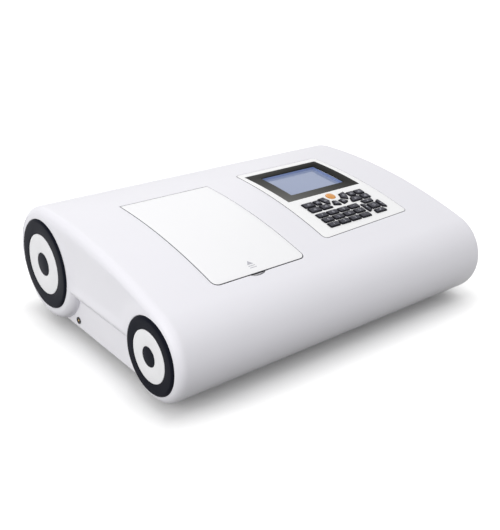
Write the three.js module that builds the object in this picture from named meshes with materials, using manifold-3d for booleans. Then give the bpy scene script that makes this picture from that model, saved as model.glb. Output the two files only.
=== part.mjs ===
// Double beam spectrophotometer: a benchtop instrument with a moulded cover, a hinged
// lid over the sample chamber, and a keypad. Millimetres, +Z up, front towards -Y,
// standing on z = 0 with its middle over the origin.
import * as THREE from "three";
import { mergeVertices } from "three/addons/utils/BufferGeometryUtils.js";
import Module from "manifold-3d";

const wasm = await Module();
wasm.setup();

// Fits shared by all pieces
const gap = 0.3; // between faces that touch on the real object
const overrun = 2; // how far a cutting tool runs past the face it cuts
const weld = 0.005; // points of an outline that lie nearer than this are one

// Cover: its outline from the side is two drums joined by a low crown
const coverWidth = 630;
const coverDepth = 470;
const rearRadius = 92;
const frontRadius = 70;
const crownRadius = 990;
const rimRadius = 14;
const coverWall = 3;
const groundClearance = 12;
const pocketInset = 15; // how far the base is set in from the ends of the drums
const pocketHeight = 64; // top of the base's visible side above the drums' lowest line
const cheekDepth = 2.5; // hollow of each end between the drums
const cheekWidth = 104;
const cheekDrop = 68; // middle of the hollow below the crown

// Ledges round the cover's two top openings
const ledgeWidth = 5;
const ledgeThickness = 2.5;
const ledgeRim = 3;

// Base pan, from under the front drum's middle to just before the rear drum's
const panFloorRise = 6; // underside of the pan above the drums' lowest line
const panSheet = 2;
const panWall = 2.5;
const panBackSetback = 3;
const panFlange = 12;
const frontLip = 15; // cover's lower lips, from the middles of the drums
const backLip = 18;
const seatRibWidth = 8;
const ventCount = 7;
const ventLength = 42;
const ventWidth = 4;
const ventPitch = 11;

// Feet, set in from the base's end and from the middles of the drums
const footEndMargin = 54;
const footFrontMargin = 31;
const footBackMargin = 34;
const footRadius = 14;
const footTopRadius = 11;
const footEdge = 2;
const footBore = 5;
const footBoreDepth = 6;

// Sample lid: its front edge lies over the front drum's middle
const lidPlaceShare = 0.196; // middle of the lid left of the cover's middle
const lidWidth = 169;
const lidBackSetback = 59; // before the rear drum's middle
const lidCorner = 10;
const lidThickness = 3;
const lidSideSeam = 0.7;
const lidEndSeam = 1.3;
const skirtInset = 9;
const skirtThickness = 2;
const skirtDepth = 9;
const skirtSetback = 36; // from the lid's back edge
const ribWidth = 2;
const ribDepth = 6;
const scoopShift = 8.5; // left of the lid's middle
const scoopLength = 26;
const scoopReach = 5;
const scoopDepth = 3.4;

// Lid hinge
const hingeSetback = 18; // from the lid's back edge
const hingeDepth = 6; // below the lid's outer face
const pinRadius = 2;
const pinClearance = 0.35;
const knuckleRadius = 4.2;
const knuckleWidth = 30;
const knuckleInset = 10;
const lugThickness = 6;
const lugHalfDepth = 6;

// Control panel: as wide as the keypad, and as deep as the keypad and the display
const panelPlaceShare = 0.2004; // middle of the panel right of the cover's middle
const panelForward = 9; // middle of the panel before the middle between the drums
const panelLeftMargin = 23.5;
const panelRightMargin = 25;
const panelCorner = 8;
const panelSplay = 7; // front left corner outside the panel's left side
const panelTaper = 3; // back left corner inside it
const panelNose = 3.5; // front left corner before the panel's front side
const panelFall = 3; // front right corner behind it
const panelThickness = 3;
const panelSeam = 0.6;

// Display
const bezelLeftMargin = 12.5; // inside the panel's edges
const bezelRightMargin = 12;
const bezelBackMargin = 14.5;
const bezelSpace = 51; // behind the keypad's middle
const bezelDepth = 117.5;
const bezelThickness = 1.5;
const screenLeftMargin = 22; // inside the bezel's edges
const screenRightMargin = 20.5;
const screenFrontMargin = 18;
const screenBackMargin = 18.5;
const screenRecess = 6.3;
const screenFrame = 1;
const screenModuleMargin = 7;
const screenModuleThickness = 6;

// Keys, in the keypad's own plane: x across, y up the slope from the keypad's middle
const keypadSetback = 55; // middle of the keypad behind the panel's front edge
const padWidth = 143;
const keyGap = 1.9;
const keyProud = 2;
const keyBevel = 0.9;
const keyCorner = 2.2;
const keyClearance = 0.3;
const keyLip = 0.6;
const keyFlange = 1.2;
const keyTravel = 1;
const functionTop = 34.8;
const functionRows = 2;
const functionPitch = 15.9;
const functionDepth = 14.1;
const leftKeyWidth = 23.5;
const rightKeyWidth = 18.6;
const rightKeyInset = 3.5; // from the direction keys' right side
const ringKeyClear = 32.6; // from the round button to the straight keys beside the ring
const ringSlantTop = 28;
const ringSlantBottom = 21;
const numberTop = -0.3;
const numberColumns = 4;
const numberRows = 3;
const numberPitchY = 14.3;
const numberDepth = 12.4;
const buttonShift = 0.3; // left of the keypad's middle
const buttonY = 37;
const buttonRadius = 8.6;
const ringInner = 16.8;
const ringOuter = 31;
const ringSectors = [[-4, 47.5], [53.5, 87], [93, 126.5], [132.5, 184]]; // degrees below the left side
const navWidth = 44;
const navSpace = 3.7; // from the number keys
const navTop = 2.6;
const navBottom = -39.8;
const navCentreWidth = 21;
const navCentreDepth = 16.5;
const navBand = 2; // slot between the middle key and the four round it
const navCut = 1.6; // slanting slot between the four
const navCornerCut = 7;

// Keypad board
const boardMargin = 9;
const boardThickness = 1.6;
const bossRadius = 3;
const bossInset = 4.5;

// End discs and their inlays
const rearDiscRim = 19; // white rim round each disc
const frontDiscRim = 13;
const discProud = 3;
const discSeat = 1.5;
const discBevel = 5;
const fieldShare = 0.68; // recessed inner field over the disc's radius
const hubShare = 0.26;
const fieldDepth = 1.6;
const inlayProud = 0.9;

// Side jack, before the rear drum
const jackClear = 20.7;
const jackHeight = 18.5;
const jackRadius = 4.6;
const jackFace = 1.6;
const jackBody = 9;
const jackFlangeRadius = 5.6;
const jackBore = 2.9;
const jackPin = 1.5;

// Rear panel in its window, which is placed from the cover's right end and the rear drum's middle
const windowEndMargin = 45;
const windowWidth = 250;
const windowBelow = 46;
const windowAbove = 30;
const rearPanelSetback = 29;
const rearSheet = 2;
const rearOverlap = 8;
const collarWall = 2.5;
const rearVentInset = 20;
const rearVentCount = 7;
const rearVentPitch = 9;
const rearVentWidth = 4;
const rearVentMargin = 14;

// Mains inlet and switch module
const inletInset = 38; // middle of the module inside the window's right edge
const inletWidth = 28;
const inletHeight = 56;
const inletFlange = 3.5;
const inletFlangeThickness = 2.2;
const inletDepth = 24;
const socketWidth = 22.5;
const socketHeight = 17;
const socketDepth = 16;
const socketRise = 16; // middle of the socket above the module's lower edge
const bladeWidth = 4;
const bladeThickness = 2;
const bladePitch = 7;
const bladeLift = 3.5;
const bladeShort = 3;
const rockerDrop = 14; // pivot of the rocker below the module's upper edge
const rockerWidth = 14;
const rockerHalfHeight = 9;
const rockerThickness = 6;
const rockerTilt = 9; // degrees
const rockerPivotDepth = 2.5;
const rockerSideGap = 0.35;
const rockerBack = 9;

// Main board and its sockets
const mainBoardSetback = 20;
const mainBoardSpace = 10; // from the inlet module
const mainBoardWidth = 96;
const mainBoardThickness = 1.6;
const dataInset = 22; // middles of the sockets inside the board's edges
const dataWidth = 12.4;
const dataHeight = 11.2;
const serialInset = 36;
const serialWidth = 31;
const serialHeight = 12.5;
const socketWall = 1.2;
const dataTongue = 3.2;
const portRise = 28; // middles of the sockets above the window's lower edge
const portDepth = 9;
const supplyBlock = 26;

// Optics: the two beams cross the chamber at shares of its inside depth
const beamHeight = 92;
const beamShares = [0.256, 0.7255];
const beamRadius = 9;
const chamberWall = 2.5;
const chamberInset = 3; // chamber's outer faces inside the lid's edges
const chamberFloor = 54;
const chamberFloorThickness = 3;
const chamberBackSetback = 28; // from the lid's back edge
const apronReach = 8; // past the lid's back edge
const apronDepth = 28;
const cellSize = 12.7;
const cellWall = 5;
const cellTop = 104;
const cellFloorThickness = 6;
const holderBarWidth = 34;
const holderBarHeight = 8;
const holderBarEnd = 16;
const cellWindowWidth = 5;
const cellWindowLow = 74;
const cellWindowHigh = 100;

// Closed cases on the base
const monoSpace = 14; // from the lamp house
const monoReach = 35; // before the sample beam
const monoBackMargin = 56; // from the base's back edge
const monoCut = 52;
const monoTop = 112;
const caseLip = 3;
const caseLipHeight = 5;
const caseClear = 5; // from the chamber's side
const tubeWall = 2;
const detectorMargin = 6.5; // from the base's end wall
const detectorReach = 29; // past each beam
const detectorTop = 122;
const lensDepth = 10;
const lampMargin = 11.5; // from the base's end wall
const lampWidth = 104;
const lampFrontMargin = 69; // from the base's edges
const lampBackMargin = 96;
const lampTop = 96;
const finCount = 8;
const finThickness = 3;
const finHeight = 18;

// How finely arcs are divided
const rearSteps = 16;
const crownSteps = 10;
const frontSteps = 12;
const pocketSteps = 5;
const rimSteps = 3;
const innerRimSteps = 2;
const discSides = 32;
const cheekSides = 144;
const roundSides = 12;
const cornerSteps = 2;
const keyCornerSteps = 1;
const sectorSteps = 5;

// Finishes
const white = finish(0xf1f1f5, 0.35);
const slate = finish(0x343b49, 0.45);
const orange = finish(0xe09a2e, 0.3);
const screenBlue = finish(0xa7b2d3, 0.2);
const circuitGreen = finish(0x2f6b46, 0.6);
const steel = finish(0xb9bcc0, 0.4, 0.9);
const castMetal = finish(0x8f949b, 0.6, 0.7);
const darkMetal = finish(0x1b1c1e, 0.5, 0.4);
const blackPlastic = finish(0x16171a, 0.4);
const blackPaint = finish(0x26272a, 0.7);
const rubber = finish(0x1d1d1f, 0.9);

// Places that follow from the sizes above: the body
const rearY = coverDepth / 2 - rearRadius;
const rearZ = groundClearance + rearRadius;
const frontY = -coverDepth / 2 + frontRadius;
const frontZ = groundClearance + frontRadius;
const pocketTop = groundClearance + pocketHeight;
const panUnder = groundClearance + panFloorRise;
const panFloor = panUnder + panSheet;
const panFront = frontY;
const panBack = rearY - panBackSetback;
const innerX = coverWidth / 2 - pocketInset;
const crown = crownCentre();
const rearTangent = Math.atan2(rearZ - crown.z, rearY - crown.y);
const frontTangent = Math.atan2(frontZ - crown.z, frontY - crown.y);
const crownTop = crownHeight(crown.y);
const lowest = -Math.PI / 2; // angle of an arc's lowest point
const footX = innerX - footEndMargin;
const drums = [
  { name: "rear", y: rearY, z: rearZ, disc: rearRadius - rearDiscRim },
  { name: "front", y: frontY, z: frontZ, disc: frontRadius - frontDiscRim },
];
const jackZ = groundClearance + jackHeight;
const jackY = rearY - Math.sqrt(rearRadius ** 2 - (rearZ - jackZ) ** 2) - jackClear;

// The lid and its hinge
const lidMiddle = -coverWidth * lidPlaceShare;
const lidLeft = lidMiddle - lidWidth / 2;
const lidRight = lidMiddle + lidWidth / 2;
const lidFront = frontY;
const lidBack = rearY - lidBackSetback;
const skirtBack = lidBack - skirtSetback;
const hingeY = lidBack - hingeSetback;
const hingeZ = crownHeight(hingeY) - hingeDepth;
const pinLeft = lidLeft - lidSideSeam - lugThickness;
const pinRight = lidRight + lidSideSeam + lugThickness;

// The control panel, display and keypad
const panelWidth = padWidth + panelLeftMargin + panelRightMargin;
const panelLeft = coverWidth * panelPlaceShare - panelWidth / 2;
const panelRight = panelLeft + panelWidth;
const panelDepth = keypadSetback + bezelSpace + bezelDepth + bezelBackMargin;
const panelFront = (rearY + frontY) / 2 - panelForward - panelDepth / 2;
const panelBack = panelFront + panelDepth;
const bezelLeft = panelLeft + bezelLeftMargin;
const bezelRight = panelRight - bezelRightMargin;
const bezelBack = panelBack - bezelBackMargin;
const bezelFront = bezelBack - bezelDepth;
const screenLeft = bezelLeft + screenLeftMargin;
const screenRight = bezelRight - screenRightMargin;
const screenFront = bezelFront + screenFrontMargin;
const screenBack = bezelBack - screenBackMargin;
const keypadMiddle = panelFront + keypadSetback;
const padLeft = panelLeft + panelLeftMargin;
const padRight = padLeft + padWidth;
const buttonX = (padLeft + padRight) / 2 - buttonShift;
const navLeft = padRight - navWidth;
const numberPitchX = (navLeft - navSpace + keyGap - padLeft) / numberColumns;

// The back
const windowRight = coverWidth / 2 - windowEndMargin;
const windowLeft = windowRight - windowWidth;
const windowBottom = rearZ - windowBelow;
const windowTop = rearZ + windowAbove;
const rearPanelY = coverDepth / 2 - rearPanelSetback;
const rearPanelFace = rearPanelY - gap;
const inletX = windowRight - inletInset;
const inletBottom = (windowBottom + windowTop - inletHeight) / 2;
const inletTop = inletBottom + inletHeight;
const socketMiddle = inletBottom + socketRise;
const rockerZ = inletTop - rockerDrop;
const rockerY = rearPanelY + inletFlangeThickness - rockerPivotDepth;
const mainBoardY = rearPanelY - mainBoardSetback;
const mainBoardRight = inletX - inletWidth / 2 - mainBoardSpace;
const mainBoardLeft = mainBoardRight - mainBoardWidth;
const dataX = mainBoardRight - dataInset;
const serialX = mainBoardLeft + serialInset;
const portZ = windowBottom + portRise;

// The chamber, the beams and the closed cases
const chamberLeft = lidLeft + chamberInset;
const chamberRight = lidRight - chamberInset;
const chamberFront = lidFront + chamberInset;
const chamberBack = lidBack - chamberBackSetback;
const insideFront = chamberFront + chamberWall;
const insideDepth = chamberBack - chamberWall - insideFront;
const [sampleBeamY, referenceBeamY] = beamShares.map((share) => insideFront + share * insideDepth);
const lampRight = innerX - panWall - lampMargin;
const lampLeft = lampRight - lampWidth;
const lampFront = panFront + lampFrontMargin;
const lampBack = panBack - lampBackMargin;
const monoRight = lampLeft - monoSpace;
const monoFront = sampleBeamY - monoReach;
const monoBack = panBack - monoBackMargin;
const detectorLeft = -innerX + panWall + detectorMargin;
const detectorFront = sampleBeamY - detectorReach;
const detectorBack = referenceBeamY + detectorReach;

// Centre of the crown's arc, which meets both drums without a corner.
function crownCentre() {
  const toRear = crownRadius - rearRadius;
  const toFront = crownRadius - frontRadius;
  const span = new THREE.Vector2(frontY - rearY, frontZ - rearZ);
  const length = span.length();
  const along = (toRear ** 2 - toFront ** 2 + length ** 2) / (length + length);
  const down = Math.sqrt(toRear ** 2 - along ** 2);
  span.normalize();
  return {
    y: rearY + span.x * along - span.y * down,
    z: rearZ + span.y * along + span.x * down,
  };
}

// Height and slope of the crown's outer face.
function crownHeight(y) {
  return crown.z + Math.sqrt(crownRadius ** 2 - (y - crown.y) ** 2);
}

function crownTilt(y) {
  return -Math.asin((y - crown.y) / crownRadius);
}

// Solids from three.js geometries, and meshes from solids
function solid(geometry, matrix = new THREE.Matrix4()) {
  const bare = geometry.clone();
  bare.deleteAttribute("normal");
  bare.deleteAttribute("uv");
  bare.applyMatrix4(matrix);
  const merged = mergeVertices(bare);
  const corners = merged.index.array;
  const kept = [];
  for (let i = 0; i < corners.length; i += 3) {
    const [a, b, c] = corners.slice(i, i + 3);
    if (a !== b && b !== c && c !== a) kept.push(a, b, c);
  }
  return new wasm.Manifold(
    new wasm.Mesh({
      numProp: 3,
      vertProperties: new Float32Array(merged.attributes.position.array),
      triVerts: new Uint32Array(kept),
    }),
  );
}

function finish(colour, roughness, metalness = 0) {
  return new THREE.MeshStandardMaterial({ color: colour, roughness, metalness, flatShading: true });
}

const part = new THREE.Group();

function addPiece(name, body, material) {
  const data = body.getMesh();
  const geometry = new THREE.BufferGeometry();
  geometry.setAttribute("position", new THREE.BufferAttribute(data.vertProperties, data.numProp));
  geometry.setIndex(new THREE.BufferAttribute(data.triVerts, 1));
  geometry.computeVertexNormals();
  const mesh = new THREE.Mesh(geometry, material.clone());
  mesh.name = name;
  part.add(mesh);
}

// Rings of points in a plane
function arc(centreX, centreY, radius, from, to, steps) {
  const curve = new THREE.EllipseCurve(centreX, centreY, radius, radius, from, to, to < from, 0);
  return curve.getPoints(steps);
}

function joined(...runs) {
  const all = runs.flat();
  const near = (a, b) => a.distanceTo(b) < weld;
  return all.filter((point, i) => !near(point, all[(i + 1) % all.length]));
}

// Moves each side of a closed ring outwards by the same amount.
function grown(ring, by) {
  return ring.map((point, i) => {
    const before = ring.at(i - 1);
    const after = ring[(i + 1) % ring.length];
    const first = new THREE.Vector2(point.y - before.y, before.x - point.x).normalize();
    const second = new THREE.Vector2(after.y - point.y, point.x - after.x).normalize();
    const mitre = first.clone().add(second).divideScalar(1 + first.dot(second));
    return point.clone().addScaledVector(mitre, by);
  });
}

// A polygon with round corners, one radius for all or one for each.
function rounded(corners, radius, steps = cornerSteps) {
  const ring = corners.map(([x, y]) => new THREE.Vector2(x, y));
  const runs = ring.map((corner, i) => {
    const size = Array.isArray(radius) ? radius[i] : radius;
    if (size <= 0) return [corner];
    const toBefore = ring.at(i - 1).clone().sub(corner).normalize();
    const toAfter = ring[(i + 1) % ring.length].clone().sub(corner).normalize();
    const half = toBefore.angleTo(toAfter) / 2;
    const middle = toBefore.clone().add(toAfter).normalize();
    const centre = corner.clone().addScaledVector(middle, size / Math.sin(half));
    const start = toBefore.multiplyScalar(size / Math.tan(half)).add(corner).sub(centre);
    const sweep = Math.PI - half - half;
    return arc(centre.x, centre.y, size, start.angle(), start.angle() + sweep, steps);
  });
  return joined(...runs);
}

function rectangle(left, right, front, back) {
  return [[left, front], [right, front], [right, back], [left, back]];
}

// Lofts: rings with equal counts of points, each at its own height, closed at both ends
function loft(levels) {
  const count = levels[0].ring.length;
  const positions = levels.flatMap(({ ring, at }) => ring.flatMap((p) => [p.x, p.y, at]));
  const faces = [];
  for (let level = 0; level + 1 < levels.length; level++) {
    for (let i = 0; i < count; i++) {
      const a = level * count + i;
      const b = level * count + ((i + 1) % count);
      faces.push(a, b, b + count, a, b + count, a + count);
    }
  }
  const top = (levels.length - 1) * count;
  const low = THREE.ShapeUtils.triangulateShape(levels[0].ring, []);
  const high = THREE.ShapeUtils.triangulateShape(levels.at(-1).ring, []);
  for (const [a, b, c] of low) faces.push(a, c, b);
  for (const [a, b, c] of high) faces.push(top + a, top + b, top + c);
  const geometry = new THREE.BufferGeometry();
  geometry.setAttribute("position", new THREE.Float32BufferAttribute(positions, 3));
  geometry.setIndex(faces);
  return geometry;
}

// A side view (y, z) carried along x, and a plan (x, y) carried along z.
const alongX = new THREE.Matrix4().makeBasis(
  new THREE.Vector3(0, 1, 0),
  new THREE.Vector3(0, 0, 1),
  new THREE.Vector3(1, 0, 0),
);

function carriedX(ring, from, to) {
  return solid(loft([{ ring, at: from }, { ring, at: to }]), alongX);
}

function prism(ring, from, to, matrix) {
  return solid(loft([{ ring, at: from }, { ring, at: to }]), matrix);
}

function box(left, right, front, back, low, high) {
  const shape = new THREE.BoxGeometry(right - left, back - front, high - low);
  shape.translate((left + right) / 2, (front + back) / 2, (low + high) / 2);
  return solid(shape);
}

// A round bar along x.
function barX(radius, from, to, y, z, sides = roundSides) {
  const shape = new THREE.CylinderGeometry(radius, radius, to - from, sides);
  shape.rotateZ(-Math.PI / 2).translate((from + to) / 2, y, z);
  return solid(shape);
}

// A profile of radius and height turned about its own upright axis.
function turned(profile, matrix, sides = roundSides) {
  const points = profile.map((point) => new THREE.Vector2(...point));
  return solid(new THREE.LatheGeometry(points, sides), matrix);
}

function place(x, y, z, turnX = 0, turnY = 0, turnZ = 0) {
  const turn = new THREE.Quaternion().setFromEuler(new THREE.Euler(turnX, turnY, turnZ));
  const unit = new THREE.Vector3(1, 1, 1);
  return new THREE.Matrix4().compose(new THREE.Vector3(x, y, z), turn, unit);
}

// The cover's outline from the side, parallel to the outer one at an inset. With the pocket,
// its lower edge between the drums rises to the top of the base's visible side.
function outline(inset, pocket) {
  const rear = rearRadius - inset;
  const front = frontRadius - inset;
  const runs = [
    arc(rearY, rearZ, rear, lowest, rearTangent, rearSteps),
    arc(crown.y, crown.z, crownRadius - inset, rearTangent, frontTangent, crownSteps),
    arc(frontY, frontZ, front, frontTangent, Math.PI - lowest, frontSteps),
  ];
  if (pocket) {
    const edge = pocketTop + inset;
    const frontEnd = Math.PI * 2 + Math.asin((edge - frontZ) / front);
    const rearStart = -Math.PI - Math.asin((edge - rearZ) / rear);
    runs.push(arc(frontY, frontZ, front, Math.PI - lowest, frontEnd, pocketSteps));
    runs.push(arc(rearY, rearZ, rear, rearStart, lowest, pocketSteps));
  }
  return joined(...runs);
}

// The whole body at an inset: full ends with round rims, filled in the middle down to the base.
function bodyForm(inset, endInset, steps) {
  const rim = rimRadius - inset;
  const half = coverWidth / 2 - endInset;
  const levels = [];
  for (let step = steps; step >= 0; step--) {
    const angle = (Math.PI / 2) * (step / steps);
    levels.push({
      ring: outline(inset + rim * (1 - Math.cos(angle)), true),
      at: -(half - rim + rim * Math.sin(angle)),
    });
  }
  const mirrored = levels.map(({ ring, at }) => ({ ring, at: -at })).reverse();
  const ends = solid(loft([...levels, ...mirrored]), alongX);
  const middle = carriedX(outline(inset, false), -(innerX - inset), innerX - inset);
  return ends.add(middle);
}

// A layer of the crown between two depths below its outer face.
function crownLayer(from, to) {
  const upper = arc(crown.y, crown.z, crownRadius - from, rearTangent, frontTangent, crownSteps);
  const lower = arc(crown.y, crown.z, crownRadius - to, rearTangent, frontTangent, crownSteps);
  return carriedX([...upper, ...lower.reverse()], -coverWidth / 2, coverWidth / 2);
}

// A plan outline as a tall tool that reaches through the top of the cover only.
function throughTop(ring) {
  return prism(ring, pocketTop, crownTop + overrun);
}

const lidPlan = rounded(rectangle(lidLeft, lidRight, lidFront, lidBack), [lidCorner, lidCorner, 0, 0]);
const lidSeat = rounded(
  rectangle(lidLeft - lidSideSeam, lidRight + lidSideSeam, lidFront - lidEndSeam, lidBack + lidEndSeam),
  [lidCorner + lidSideSeam, lidCorner + lidSideSeam, 0, 0],
);
const panelPlan = rounded(
  [
    [panelLeft - panelSplay, panelFront - panelNose], [panelRight, panelFront + panelFall],
    [panelRight, panelBack], [panelLeft + panelTaper, panelBack],
  ],
  panelCorner,
);

// Makes a rebated opening in the top: thickens the wall, cuts the seat, then the hole.
function rebated(shell, plan, seat, plate) {
  const ledge = plate + gap + ledgeThickness;
  const pad = crownLayer(coverWall / 2, ledge).intersect(throughTop(grown(seat, ledgeRim)));
  const rebate = crownLayer(-overrun, plate + gap).intersect(throughTop(seat));
  return shell.add(pad).subtract(rebate).subtract(throughTop(grown(plan, -ledgeWidth)));
}

// The shallow hollow between the drums on one end, side = -1 for the left and 1 for the right.
// The tool is a long cylinder that dips into the end by the hollow's depth.
function cheekTool(side) {
  const halfWidth = cheekWidth / 2;
  const radius = (halfWidth ** 2 + cheekDepth ** 2) / (cheekDepth + cheekDepth);
  const chord = new THREE.Vector2(rearY - frontY, rearZ - frontZ);
  const middleY = (rearY + frontY) / 2;
  const middleZ = crownHeight(middleY) - cheekDrop;
  const end = side * coverWidth / 2;
  const shape = new THREE.CylinderGeometry(radius, radius, chord.length() + rearRadius, cheekSides);
  const x = end + side * (radius - cheekDepth);
  const strip = solid(shape, place(x, middleY, middleZ, chord.angle()));
  const near = box(
    end - pocketInset, end + pocketInset, frontY, rearY, pocketTop + rimRadius, crownTop,
  );
  const rearDrum = barX(rearRadius, -coverWidth, coverWidth, rearY, rearZ, discSides);
  const frontDrum = barX(frontRadius, -coverWidth, coverWidth, frontY, frontZ, discSides);
  return strip.intersect(near).subtract(rearDrum).subtract(frontDrum);
}

function topCover() {
  let shell = bodyForm(0, 0, rimSteps);
  shell = shell.subtract(bodyForm(coverWall, coverWall + cheekDepth, innerRimSteps));
  for (const side of [-1, 1]) shell = shell.subtract(cheekTool(side));

  shell = rebated(shell, lidPlan, lidSeat, lidThickness);
  shell = rebated(shell, panelPlan, grown(panelPlan, panelSeam), panelThickness);
  const hingeWell = rounded(
    rectangle(lidLeft - lidSideSeam, lidRight + lidSideSeam, skirtBack, lidBack + lidEndSeam), 0,
  );
  shell = shell.subtract(throughTop(hingeWell));

  for (const [from, to] of [
    [pinLeft, lidLeft - lidSideSeam],
    [lidRight + lidSideSeam, pinRight],
  ]) {
    const low = hingeZ - lugHalfDepth;
    const high = crownHeight(hingeY - lugHalfDepth) - coverWall / 2;
    shell = shell.add(box(from, to, hingeY - lugHalfDepth, hingeY + lugHalfDepth, low, high));
  }
  shell = shell.subtract(barX(pinRadius + pinClearance, pinLeft - gap, pinRight + gap, hingeY, hingeZ));

  const scoop = new THREE.SphereGeometry(1, roundSides, roundSides / 2);
  scoop.scale(scoopLength / 2, scoopReach, scoopDepth);
  const scoopY = lidFront - lidEndSeam;
  const scoopPlace = place(lidMiddle - scoopShift, scoopY, crownHeight(scoopY), crownTilt(scoopY));
  shell = shell.subtract(solid(scoop, scoopPlace));

  const outerWindow = box(
    windowLeft - collarWall, windowRight + collarWall, rearPanelY, coverDepth / 2,
    windowBottom - collarWall, windowTop + collarWall,
  );
  shell = shell.add(outerWindow.intersect(bodyForm(coverWall / 2, coverWall, innerRimSteps)));
  shell = shell.subtract(
    box(windowLeft, windowRight, rearY, coverDepth / 2 + overrun, windowBottom, windowTop),
  );

  for (const side of [-1, 1]) {
    for (const drum of drums) {
      const face = side * coverWidth / 2;
      const ends = [face - side * discSeat, face + side * overrun];
      const seat = barX(drum.disc + gap, Math.min(...ends), Math.max(...ends), drum.y, drum.z, discSides);
      shell = shell.subtract(seat);
    }
  }

  shell = shell.subtract(
    box(-innerX - gap, innerX + gap, frontY + frontLip, rearY - backLip, 0, pocketTop),
  );
  const ribLow = groundClearance + coverWall / 2;
  const ribHigh = panUnder - gap;
  const ribHalf = innerX - pocketInset;
  shell = shell.add(box(-ribHalf, ribHalf, panFront, panFront + seatRibWidth, ribLow, ribHigh));
  shell = shell.add(box(-ribHalf, ribHalf, panBack - seatRibWidth, panBack, ribLow, ribHigh));
  return shell;
}

// Base pan: floor, end walls and two low flanges, with vent slots and the hole for the side jack.
function basePan() {
  let pan = box(-innerX, innerX, panFront, panBack, panUnder, pocketTop - gap);
  const inner = innerX - panWall;
  pan = pan.subtract(
    box(-inner, inner, panFront - overrun, panBack + overrun, panFloor, pocketTop),
  );
  const flangeTop = panFloor + panFlange;
  pan = pan.add(box(-inner - gap, inner + gap, panFront, panFront + panSheet, panUnder, flangeTop));
  pan = pan.add(box(-inner - gap, inner + gap, panBack - panSheet, panBack, panUnder, flangeTop));
  const middle = (lampLeft + lampRight) / 2;
  const ventFront = lampBack + ventWidth;
  for (let i = 0; i < ventCount; i++) {
    const x = middle + (i - (ventCount - 1) / 2) * ventPitch;
    const slot = rounded(
      rectangle(x - ventWidth / 2, x + ventWidth / 2, ventFront, ventFront + ventLength), 0,
    );
    pan = pan.subtract(prism(slot, panUnder - overrun, panFloor + overrun));
  }
  const jackHole = barX(jackRadius + gap, -innerX - overrun, -inner + overrun, jackY, jackZ);
  return pan.subtract(jackHole);
}

// A foot: tapered, with a rounded lower edge and a screw recess underneath.
function foot(x, y) {
  const height = panUnder - gap;
  const profile = [
    [0, footBoreDepth],
    [footBore, footBoreDepth],
    [footBore, 0],
    [footRadius - footEdge, 0],
    [footRadius, footEdge],
    [footTopRadius, height],
    [0, height],
  ];
  return turned(profile, place(x, y, 0, Math.PI / 2));
}

function sampleLid() {
  let lid = crownLayer(0, lidThickness).intersect(throughTop(lidPlan));
  const skirtPlan = rounded(
    rectangle(lidLeft + skirtInset, lidRight - skirtInset, lidFront + skirtInset, skirtBack), 0,
  );
  const skirtRing = throughTop(skirtPlan).subtract(throughTop(grown(skirtPlan, -skirtThickness)));
  lid = lid.add(crownLayer(lidThickness / 2, skirtDepth).intersect(skirtRing));

  const ribPlan = rounded(
    rectangle(lidLeft + skirtInset, lidRight - skirtInset, referenceBeamY, referenceBeamY + ribWidth), 0,
  );
  const crossPlan = rounded(
    rectangle(lidLeft + skirtInset, lidRight - skirtInset, sampleBeamY, sampleBeamY + ribWidth), 0,
  );
  const ribs = throughTop(ribPlan).add(throughTop(crossPlan));
  lid = lid.add(crownLayer(lidThickness / 2, ribDepth).intersect(ribs));

  const bore = pinRadius + pinClearance;
  for (const from of [lidLeft + knuckleInset, lidRight - knuckleInset - knuckleWidth]) {
    const to = from + knuckleWidth;
    const high = crownHeight(hingeY - knuckleRadius) - lidThickness / 2;
    const web = box(from, to, hingeY - knuckleRadius, hingeY + knuckleRadius, hingeZ, high);
    lid = lid.add(barX(knuckleRadius, from, to, hingeY, hingeZ)).add(web);
    lid = lid.subtract(barX(bore, from - overrun, to + overrun, hingeY, hingeZ));
  }
  return lid;
}

// The keypad's plane: origin on the crown at the keypad's middle, z along its normal.
const keypadPlane = place(0, keypadMiddle, crownHeight(keypadMiddle), crownTilt(keypadMiddle));
const padBottom = numberTop - (numberRows - 1) * numberPitchY - numberDepth;
const crownSag = (y) => crownRadius - Math.sqrt(crownRadius ** 2 - y ** 2);
const sagMost = crownSag(Math.max(-padBottom, functionTop));
const flangeUnder = -(panelThickness + gap + sagMost + keyFlange);
const boardTop = flangeUnder - keyTravel - gap;
const boardBack = buttonY + buttonRadius + bossInset;
const boardPlan = rounded(
  rectangle(padLeft - boardMargin, padRight + boardMargin, padBottom - bossInset, boardBack),
  keyCorner,
);

// Outlines of all keys, by name.
function keyOutlines() {
  const keys = {};
  const keyBox = (left, right, top, depth) => rectangle(left, right, top - depth, top);
  const leftEdge = padLeft + leftKeyWidth;
  const rightKeysEnd = padRight - rightKeyInset;
  const rightEdge = rightKeysEnd - rightKeyWidth;
  for (let row = 0; row < functionRows; row++) {
    const top = functionTop - row * functionPitch;
    const low = top - functionDepth;
    const slantTop = row ? ringSlantTop : ringKeyClear;
    const slantLow = row ? ringSlantBottom : ringKeyClear;
    const rowNumber = row + 1;
    keys[`key_left_${rowNumber}_1`] = keyBox(padLeft, leftEdge, top, functionDepth);
    keys[`key_left_${rowNumber}_2`] = [
      [leftEdge + keyGap, low], [buttonX - slantLow, low],
      [buttonX - slantTop, top], [leftEdge + keyGap, top],
    ];
    keys[`key_right_${rowNumber}_1`] = [
      [buttonX + slantLow, low], [rightEdge - keyGap, low],
      [rightEdge - keyGap, top], [buttonX + slantTop, top],
    ];
    keys[`key_right_${rowNumber}_2`] = keyBox(rightEdge, rightKeysEnd, top, functionDepth);
  }
  for (let row = 0; row < numberRows; row++) {
    for (let column = 0; column < numberColumns; column++) {
      const left = padLeft + column * numberPitchX;
      const top = numberTop - row * numberPitchY;
      const right = left + numberPitchX - keyGap;
      keys[`key_number_${row + 1}_${column + 1}`] = keyBox(left, right, top, numberDepth);
    }
  }
  return keys;
}

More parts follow.
